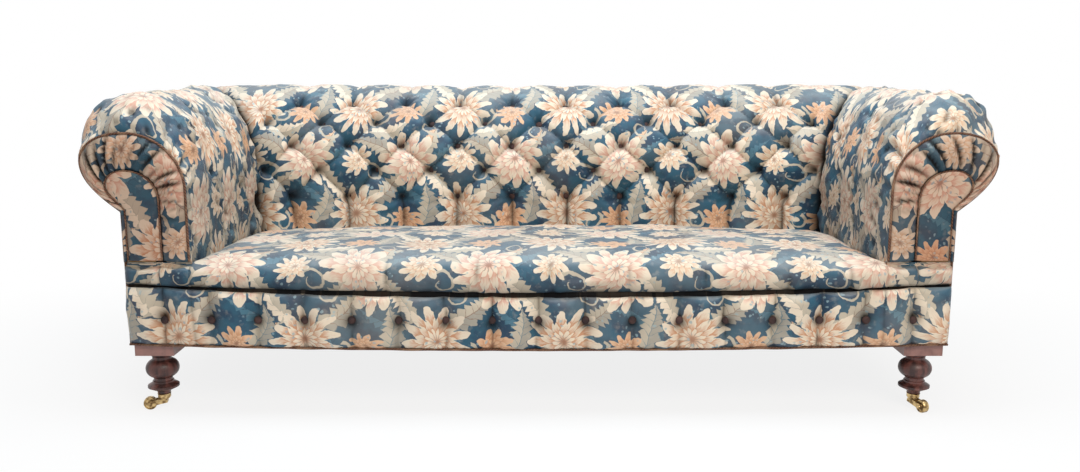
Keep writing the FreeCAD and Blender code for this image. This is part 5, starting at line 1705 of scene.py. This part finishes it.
@dataclass
class ArmFront:
    """The front of an arm: a tongue panel, a gathered band round it and cords along both outlines."""

    side: Side
    bottom: float = 0.384
    face: float = FRAME_FRONT - 0.008
    panel_near: float = 0.062
    panel_far: float = 0.143
    panel_reach: float = 0.186
    panel_crest: float = 0.602
    panel_top_run: float = 0.138
    soil_and_shade: float = 0.30
    band_puff: float = 0.0135
    pucker_high: float = 0.0066
    panel_puff: float = 0.0075
    seam_shade: float = 0.006
    stuffing: Stuffing = Stuffing(slack=0.015, cap=0.004)
    counts: tuple[int, int, int, int, int] = (24, 40, 24, 24, 16)
    band_steps: int = 16
    panel_rows: int = 64
    panel_columns: int = 16

    def outer_line(self) -> np.ndarray:
        """The arm front's outline from the seat up over the scroll and down the outside.

        Returns:
            An array of (run, height).
        """
        curves = FACING_SCROLL.curves(self.bottom)
        curves.append([curves[-1][-1], (FACING_SCROLL.tack_run, self.bottom)])
        parts = [bezier(curve, count) for curve, count in zip(curves, self.counts)]
        return np.vstack([np.array([[0.0, self.bottom]])] + parts)

    def panel_line(self) -> np.ndarray:
        """The tongue's outline, step for step beside the outer one.

        Returns:
            An array of (run, height).
        """
        low, neck, shoulder = self.bottom + 0.004, self.panel_crest - 0.072, self.panel_crest - 0.036
        top, waist = (self.panel_top_run, self.panel_crest), (self.panel_far, FACING_SCROLL.tack + 0.004)
        curves = [[(self.panel_near, low), (self.panel_near, neck)],
                  [(self.panel_near, neck), (self.panel_near, neck + 0.046),
                   (self.panel_top_run - 0.040, self.panel_crest), top],
                  [top, (self.panel_top_run + 0.032, self.panel_crest),
                   (self.panel_reach, shoulder + 0.020), (self.panel_reach, shoulder)],
                  [(self.panel_reach, shoulder), (self.panel_reach, shoulder - 0.024),
                   (waist[0] + 0.012, waist[1] + 0.018), waist],
                  [waist, (self.panel_far, low)]]
        parts = [bezier(curve, count) for curve, count in zip(curves, self.counts)]
        return np.vstack([np.array(curves[0][:1])] + parts)

    def in_space(self, flat: np.ndarray, depth: np.ndarray) -> np.ndarray:
        """Points of the arm front from their run and height, at a depth."""
        x = self.side.value * (SEAT_HALF + flat[..., 0])
        return np.stack([x, np.broadcast_to(depth, x.shape), flat[..., 1]], axis=-1)

    def band(self, finishes: Finishes) -> bpy.types.Object:
        """Make the gathered band between the two outlines.

        Args:
            finishes: The materials.

        Returns:
            The padded piece.
        """
        near, far = self.panel_line(), self.outer_line()
        share = np.linspace(0, 1, self.band_steps + 1)[None, :]
        flat = near[:, None] + (far - near)[:, None] * share[:, :, None]
        along = run_lengths((near + far) / 2)[:, None]
        wide = np.linalg.norm(far - near, axis=1)[:, None] * share
        end = along.max()
        curved = smooth_step(along, 0.08, 0.17) * (1 - smooth_step(along, end - 0.16, end - 0.08))
        pucker = Ripple(80 + self.side.value, 0.026, 4, (1.0, 8.0)).at(along + 0.35 * wide, wide)
        rise = np.sin(np.pi * share) ** 0.6
        puckered = self.pucker_high * pucker * (0.25 + 0.75 * curved) * rise * (1.15 - 0.60 * share)
        proud = self.band_puff * rise + puckered + 0.002 * (1 - share)
        # Painted shade with soil: the band is darkened all over, more in its puckers' hollows and along its
        # seams
        crease = self.soil_and_shade + np.clip(-pucker - 0.15, 0, 1) * (0.2 + 0.8 * curved) * 0.95 * rise
        seam = np.minimum(wide, wide[:, -1:] - wide)
        crease = np.clip(np.maximum(crease, 0.85 * np.exp(-seam / self.seam_shade)), 0, 1)
        outer = self.in_space(flat, FRAME_FRONT - 0.0025 - proud)
        inner = self.in_space(flat[::LINING, ::LINING], np.array(FRAME_FRONT - 0.0005))
        cloth = np.stack([np.broadcast_to(along, wide.shape) * 1.1 + 0.03, wide + 0.21], axis=2)
        piece = stuffed(f"{self.side.word}_front_band", outer, inner, cloth, crease)
        self.stuffing.settle(piece, sewn(wide.shape))
        return dress(piece, finishes.soiled_and_shaded, Slot.PRINT, f"{self.side.word}_arm_facing")

    def panel(self, finishes: Finishes) -> bpy.types.Object:
        """Make the tongue panel, puffed a little and drawn in at its cord.

        Args:
            finishes: The materials.

        Returns:
            The padded piece.
        """
        line = self.panel_line()
        split = self.counts[0] + self.counts[1]
        points = self.panel_rows + 1
        first, second = evenly(line[:split + 1], points), evenly(line[split:][::-1], points)
        share = np.linspace(0, 1, self.panel_columns + 1)[None, :]
        flat = first[:, None] + (second - first)[:, None] * share[:, :, None]
        puff = np.sqrt(np.clip(4 * share * (1 - share), 0, 1))
        top = np.sqrt(np.clip(np.linspace(1, 0, points)[:, None] * 3.0, 0, 1))
        slack = Ripple(90 + self.side.value, 0.05).at(flat[..., 0], flat[..., 1])
        proud = self.panel_puff * puff * top + 0.0009 * slack
        # Painted shade with soil: the panel is darkened all over, more toward its corded edges
        crease = self.soil_and_shade + 0.45 * (1 - smooth_step(puff * np.ones_like(top), 0.0, 0.55))
        outer = self.in_space(flat, self.face - 0.001 - np.maximum(proud, 0))
        inner = self.in_space(flat[::LINING, ::LINING], np.array(self.face + 0.002))
        cloth = np.stack([self.side.value * flat[..., 0] + 0.13, flat[..., 1] - 0.33], axis=2)
        piece = stuffed(f"{self.side.word}_tongue_panel", outer, inner, cloth, crease)
        self.stuffing.settle(piece, sewn(flat.shape[:2]))
        return dress(piece, finishes.soiled_and_shaded, Slot.PRINT, f"{self.side.word}_front_panel")

    def outer_cord(self) -> np.ndarray:
        """The middle line of the cord round the arm front."""
        return self.in_space(evenly(self.outer_line(), 150), np.array(FRAME_FRONT - 0.0045))

    def panel_cord(self) -> np.ndarray:
        """The middle line of the cord round the tongue panel."""
        return self.in_space(evenly(self.panel_line(), 110), np.array(self.face - 0.003))

    def build(self, finishes: Finishes) -> None:
        """Make the band and the panel."""
        self.band(finishes)
        self.panel(finishes)


@dataclass
class LipEnds:
    """The ends of the seat lip under the arm fronts, sewn on with an upright seam."""

    seam: float = 0.905
    seam_deep: float = 0.006
    seam_step: float = 0.0025
    crevice: float = 0.012
    columns: int = 40
    stuffing: Stuffing = Stuffing(slack=0.008, cap=0.004)

    def build(self, seat: SprungSeat, finishes: Finishes) -> None:
        """Make both ends, each going on from the seat's lip.

        Args:
            seat: The seat whose lip they go on from.
            finishes: The materials.
        """
        steps = seat.counts[0] + seat.counts[1] + 1
        for side in Side:
            x = np.linspace(seat.half - 0.001, BASE_HALF, self.columns + 1)[:, None]
            lip = np.array([seat.section(0.0, lip_line(place))[:steps] for place in x[:, 0]])
            v = np.array([run_lengths(ring) for ring in lip])
            proud = FRAME_FRONT - lip[:, :, 0] + 0.0016 * Ripple(100 + side.value, 0.06).at(x, v)
            stitch = np.exp(-np.abs(x - self.seam) / 0.0035)
            ends = np.sqrt(np.clip((BASE_HALF + 0.0005 - x) / 0.012, 0, 1))
            proud = (proud - self.seam_deep * stitch - self.seam_step * (x > self.seam)) * (0.4 + 0.6 * ends)
            wide = np.broadcast_to(side.value * x, v.shape)
            outer = np.stack([wide, FRAME_FRONT - proud, lip[:, :, 1]], axis=2)
            outer[:, -1, 1] = FRAME_FRONT - 0.002
            inner = outer[::LINING, ::LINING].copy()
            inner[:, :, 1] = FRAME_FRONT - 0.0005
            print_x = side.value * x + 0.05 + 0.13 * (x > self.seam)
            cloth = np.stack(np.broadcast_arrays(print_x, v + 0.17), axis=2)
            # Painted shade in the upright seam and in the crevice under the lip
            crease = np.maximum(0.85 * stitch, lip_shade(v, self.crevice))
            piece = stuffed(f"{side.word}_lip_end", outer, inner, cloth, crease)
            self.stuffing.settle(piece, np.maximum(sewn(proud.shape), stitch))
            dress(piece, finishes.cotton, Slot.PRINT, *(("lip_end_pads",) if side is Side.LEFT else ()))


@dataclass
class OutsideCovers:
    """The flat covers of the outside back and outside arms."""

    thick: float = 0.006
    slackness: float = 0.0018
    lift: float = 0.0016
    rows: int = 32

    def panel(self, name: str, corner: np.ndarray, across: np.ndarray, highs: tuple[float, float],
              away: np.ndarray, seed: int, finishes: Finishes, node: str) -> bpy.types.Object:
        """Make one cover, a little slack between its tacked edges.

        Args:
            name: The piece's name.
            corner: Its lower corner on the outer plane.
            across: The way along its lower edge.
            highs: Its height at both ends.
            away: The way out of the sofa.
            seed: For its slackness.
            finishes: The materials.
            node: The CAD node that it stands for.

        Returns:
            The piece.
        """
        long = float(np.linalg.norm(across))
        steps = LINING * max(6, round(long / 0.08))
        u, share = np.meshgrid(np.linspace(0, 1, steps + 1), np.linspace(0, 1, self.rows + 1), indexing="ij")
        high = highs[0] + (highs[1] - highs[0]) * smooth_step(u, 0.10, 1.0)
        edge = np.minimum(np.minimum(u, 1 - u) * long, np.minimum(share, 1 - share) * high)
        ripple = Ripple(seed, 0.22, 6, (1.0, 2.2)).at(u * long, share * high)
        slack = smooth_step(edge, 0.0, 0.06) * (self.slackness * ripple)
        slack += self.lift * smooth_step(edge, 0.0, 0.012)
        upright = (share * high)[..., None] * np.array([0.0, 0.0, 1.0])
        outer = corner + u[..., None] * across + upright + slack[..., None] * away
        inner = outer[::LINING, ::LINING] - (self.thick + slack[::LINING, ::LINING, None]) * away
        # Painted shade along the tacked edges
        crease = 0.5 * np.exp(-edge / 0.005)
        cloth = np.stack([u * long + 0.1 * seed, share * high + 0.05], axis=2)
        piece = stuffed(name, outer, inner, cloth, crease)
        return dress(piece, finishes.cotton, Slot.PRINT, node)

    def build(self, finishes: Finishes) -> None:
        """Make the back cover and both arm covers.

        Args:
            finishes: The materials.
        """
        rear_high, front_high = BACK_SCROLL.tack - BASE_BOTTOM, ARM_SCROLL.tack - BASE_BOTTOM
        self.panel("outside_back_cover", np.array([BASE_HALF, BASE_BACK - 0.001, BASE_BOTTOM]),
                   np.array([-2 * BASE_HALF, 0.0, 0.0]), (rear_high, rear_high), np.array([0.0, 1.0, 0.0]),
                   3, finishes, "outside_back")
        for side in Side:
            self.panel(f"{side.word}_outside_cover",
                       np.array([side.value * (BASE_HALF - 0.001), FRAME_FRONT, BASE_BOTTOM]),
                       np.array([0.0, BASE_BACK - 0.006 - FRAME_FRONT, 0.0]), (front_high, rear_high),
                       np.array([float(side.value), 0.0, 0.0]), 5 + side.value, finishes,
                       f"{side.word}_outside_arm")


@dataclass
class Trimming:
    """Sewn cords round the arm fronts and along the outside edges, and the gimp under the border."""

    radius: float = 0.0030
    panel_radius: float = 0.0020
    gimp_radius: float = 0.0028
    gimp_step: float = 0.0035
    edge_points: int = 80
    gimp_points: int = 240

    def build(self, fronts: Sequence[ArmFront], border: ButtonedBorder, finishes: Finishes) -> None:
        """Make the cords and the gimp.

        Args:
            fronts: The arm fronts whose outlines are corded.
            border: The border whose lower edge has the gimp.
            finishes: The materials.
        """
        lines = [front.outer_cord() for front in fronts]
        for side in Side:
            level = np.linspace(FACING_SCROLL.tack, BASE_BOTTOM, self.edge_points)
            x = np.full_like(level, side.value * (BASE_HALF + 0.0005))
            lines.append(np.column_stack([x, np.full_like(level, FRAME_FRONT - 0.001), level]))
        dress(tube("front_cords", lines, self.radius), finishes.cord, Slot.TRIM, "facing_piping")
        panel_lines = [front.panel_cord() for front in fronts]
        dress(tube("panel_cords", panel_lines, self.panel_radius), finishes.cord, Slot.TRIM)
        x = np.linspace(-BASE_HALF, BASE_HALF, self.gimp_points)
        low = BASE_BOTTOM - border.sag(x) + 0.0004 + 0.0005 * Ripple(110, 0.09).at(x, x * 0)
        rows = [np.column_stack([x, np.full_like(x, FRAME_FRONT - 0.0085 - step), low])
                for step in (0.0, self.gimp_step)]
        dress(tube("border_gimp", rows, self.gimp_radius, 6), finishes.cord, Slot.TRIM, "base_gimp")


@dataclass
class DustCloth:
    """The thin cloth tacked under the frame, cut out round the legs and hanging a little."""

    half: float = 0.984
    front: float = -0.446
    rear: float = 0.331
    level: float = 0.1768
    leg_x: float = 0.935
    leg_y: tuple[float, float] = (-0.401, 0.280)
    room: float = 0.049
    sag: float = 0.010
    slackness: float = 0.0012
    thick: float = 0.001

    def over_leg(self, x: float, y: float) -> bool:
        """Whether a place is over the block of a leg."""
        beside = abs(abs(x) - self.leg_x) < self.room
        return beside and any(abs(y - leg) < self.room for leg in self.leg_y)

    def build(self, finishes: Finishes) -> bpy.types.Object:
        """Make the sheet.

        Args:
            finishes: The materials.

        Returns:
            The sheet.
        """
        cuts_x = [side * (self.leg_x - self.room) for side in (-1, 1)]
        cuts_y = [leg + step for leg in self.leg_y for step in (-self.room, self.room)]
        cuts_y = [cut for cut in cuts_y if self.front < cut < self.rear]
        marks_x = np.unique(np.concatenate([np.linspace(-self.half, self.half, 121), cuts_x]))
        marks_y = np.unique(np.concatenate([np.linspace(self.front, self.rear, 49), cuts_y]))
        x, y = np.meshgrid(marks_x, marks_y, indexing="ij")
        edge = np.minimum(self.half - np.abs(x), np.minimum(y - self.front, self.rear - y))
        drop = self.sag * smooth_step(edge, 0.0, 0.25)
        drop += self.slackness * Ripple(120, 0.12).at(x, y) * smooth_step(edge, 0, 0.05)
        points = np.stack([x, y, self.level - drop], axis=2)
        index = np.arange(x.size).reshape(x.shape)
        middle = points.reshape(-1, 3)
        kept, area = [], 0.0
        for face in grid_faces(index):
            heart = middle[face].mean(axis=0)
            if self.over_leg(heart[0], heart[1]):
                continue
            kept.append(face)
            spans = middle[face].max(axis=0) - middle[face].min(axis=0)
            area += spans[0] * spans[1]
        piece = new_object("dust_cloth", middle, kept, middle[:, :2], np.zeros(len(middle)))
        bpy.ops.object.select_all(action="DESELECT")
        piece.select_set(True)
        bpy.context.view_layer.objects.active = piece
        bpy.ops.object.mode_set(mode="EDIT")
        bpy.ops.mesh.select_all(action="SELECT")
        bpy.ops.mesh.delete_loose()
        bpy.ops.object.mode_set(mode="OBJECT")
        wall = piece.modifiers.new("thickness", "SOLIDIFY")
        wall.thickness = self.thick
        bpy.ops.object.modifier_apply(modifier=wall.name)
        return dress(piece, finishes.dust, Slot.DUST, "bottom_cloth")


class FrameParts:
    """The wooden frame, seat support, legs and castors, kept as they come and given better finishes."""

    JUTE = ("webbing", "canvas")
    STEEL = ("springs", "screws")
    BRASS = ("horn", "axle", "wheel", "sockets")

    def finish_of(self, name: str, finishes: Finishes) -> bpy.types.Material:
        """The material for a node by the words of its name.

        Args:
            name: The node's name.
            finishes: The materials.

        Returns:
            The material.
        """
        choices = ((self.JUTE, finishes.jute), (self.STEEL, finishes.steel), (self.BRASS, finishes.brass))
        for words, material in choices:
            if any(word in name for word in words):
                return material
        return finishes.mahogany if name.endswith("_leg") else finishes.beech

    def dress(self, nodes: dict[str, bpy.types.Object], finishes: Finishes) -> None:
        """Give each node its material.

        Args:
            nodes: The CAD nodes by name.
            finishes: The materials.
        """
        for name, node in nodes.items():
            node.data.materials.clear()
            node.data.materials.append(self.finish_of(name, finishes))


@dataclass(frozen=True)
class Lamp:
    """A soft rectangular lamp: its name, place, width and height, power and colour."""

    name: str
    place: tuple[float, float, float]
    size: tuple[float, float]
    watts: float
    tint: Colour


@dataclass
class Studio:
    """A white floor, soft light and the camera that looks a little down at the sofa's front."""

    eye: tuple[float, float, float] = (0.003, -2.822, 0.864)
    pitch: float = 10.0
    lens: float = 33.73
    sensor: float = 36.0
    target: tuple[float, float, float] = (0.0, 0.0, 0.4)
    lamps: tuple[Lamp, ...] = (Lamp("overhead", (0.0, -0.4, 3.0), (3.4, 1.6), 86.0, (0.89, 0.99, 1.08)),
                               Lamp("front", (0.9, -3.2, 2.5), (2.4, 1.4), 63.0, (1.10, 1.0, 0.88)))

    def camera(self) -> None:
        """Set the camera in front of the sofa."""
        data = bpy.data.cameras.new("camera")
        data.lens, data.sensor_width = self.lens, self.sensor
        holder = bpy.data.objects.new("camera", data)
        holder.location = self.eye
        holder.rotation_euler = (math.radians(90 - self.pitch), 0.0, 0.0)
        bpy.context.collection.objects.link(holder)
        bpy.context.scene.camera = holder

    def hang(self, lamp: Lamp) -> None:
        """Set a lamp in its place, turned toward the sofa.

        Args:
            lamp: The lamp.
        """
        data = bpy.data.lights.new(lamp.name, "AREA")
        data.shape, data.energy, data.color = "RECTANGLE", lamp.watts, lamp.tint
        data.size, data.size_y = lamp.size
        holder = bpy.data.objects.new(lamp.name, data)
        holder.location = lamp.place
        holder.rotation_euler = (Vector(self.target) - Vector(lamp.place)).to_track_quat("-Z", "Y").to_euler()
        bpy.context.collection.objects.link(holder)

    @staticmethod
    def seen(graph: Graph) -> Socket:
        """1 for rays from the camera, or mirrored or let through on the way.

        Args:
            graph: The node tree that asks.

        Returns:
            The number.
        """
        path = graph.node("ShaderNodeLightPath").outputs
        mirrored = graph.math("MAXIMUM", path["Is Glossy Ray"], path["Is Transmission Ray"])
        return graph.math("MAXIMUM", path["Is Camera Ray"], mirrored)

    def floor(self) -> None:
        """Lay a white floor that shows the sofa's shadow faintly."""
        bpy.ops.object.select_all(action="DESELECT")
        bpy.ops.mesh.primitive_plane_add(size=60.0, location=(0, 0, -0.0005))
        ground = bpy.context.object
        ground.name = "floor"
        material = bpy.data.materials.new("white floor")
        material.use_nodes = True
        g = Graph(material.node_tree)
        shader = material.node_tree.nodes["Principled BSDF"]
        shader.inputs["Base Color"].default_value = (0.86, 0.86, 0.86, 1.0)
        shader.inputs["Roughness"].default_value = 0.9
        glow = g.node("ShaderNodeEmission")
        x, y, _ = g.parts(g.node("ShaderNodeTexCoord").outputs["Object"])
        squares = (g.math("POWER", g.math("MULTIPLY", x, 0.62), 2.0), g.math("POWER", y, 2.0))
        far = g.math("SQRT", g.math("ADD", *squares))
        share = g.math("MULTIPLY", g.ramp(far, 0.55, 1.6, 0.84, 1.0), self.seen(g))
        blend = g.node("ShaderNodeMixShader")
        g.feed(blend.inputs[0], share)
        g.feed(blend.inputs[1], shader.outputs[0])
        g.feed(blend.inputs[2], glow.outputs[0])
        g.feed(material.node_tree.nodes["Material Output"].inputs["Surface"], blend.outputs[0])
        ground.data.materials.append(material)

    def sky(self) -> None:
        """Light the room evenly, and show it as white."""
        world = bpy.data.worlds.new("studio")
        world.use_nodes = True
        bpy.context.scene.world = world
        g = Graph(world.node_tree)
        light = world.node_tree.nodes["Background"]
        light.inputs["Color"].default_value = (1.0, 1.0, 1.0, 1.0)
        g.feed(light.inputs["Strength"], g.ramp(self.seen(g), 0.0, 1.0, 0.20, 1.0))

    def build(self) -> None:
        """Set the whole stage."""
        self.camera()
        self.floor()
        self.sky()
        for lamp in self.lamps:
            self.hang(lamp)
        bpy.context.scene.view_settings.view_transform = "Standard"


def main() -> None:
    """Load the frame, build and dress every piece, and set the stage."""
    logging.basicConfig(level=logging.INFO, format="%(name)s: %(message)s")
    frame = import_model()
    finishes = Finishes()
    FrameParts().dress(frame["nodes"], finishes)
    back = ButtonedBack()
    back.build(finishes)
    for side in Side:
        ScrollArm(side).build(finishes)
    seat = SprungSeat()
    seat.build(finishes)
    border = ButtonedBorder()
    border.build(finishes)
    CoveredButtons("back_button_set", "back_buttons", back.button_places()).build(finishes)
    CoveredButtons("border_button_set", "border_buttons", border.button_places()).build(finishes)
    fronts = [ArmFront(side) for side in Side]
    for front in fronts:
        front.build(finishes)
    LipEnds().build(seat, finishes)
    OutsideCovers().build(finishes)
    Trimming().build(fronts, border, finishes)
    DustCloth().build(finishes)
    Studio().build()


if __name__ == "__main__":
    main()
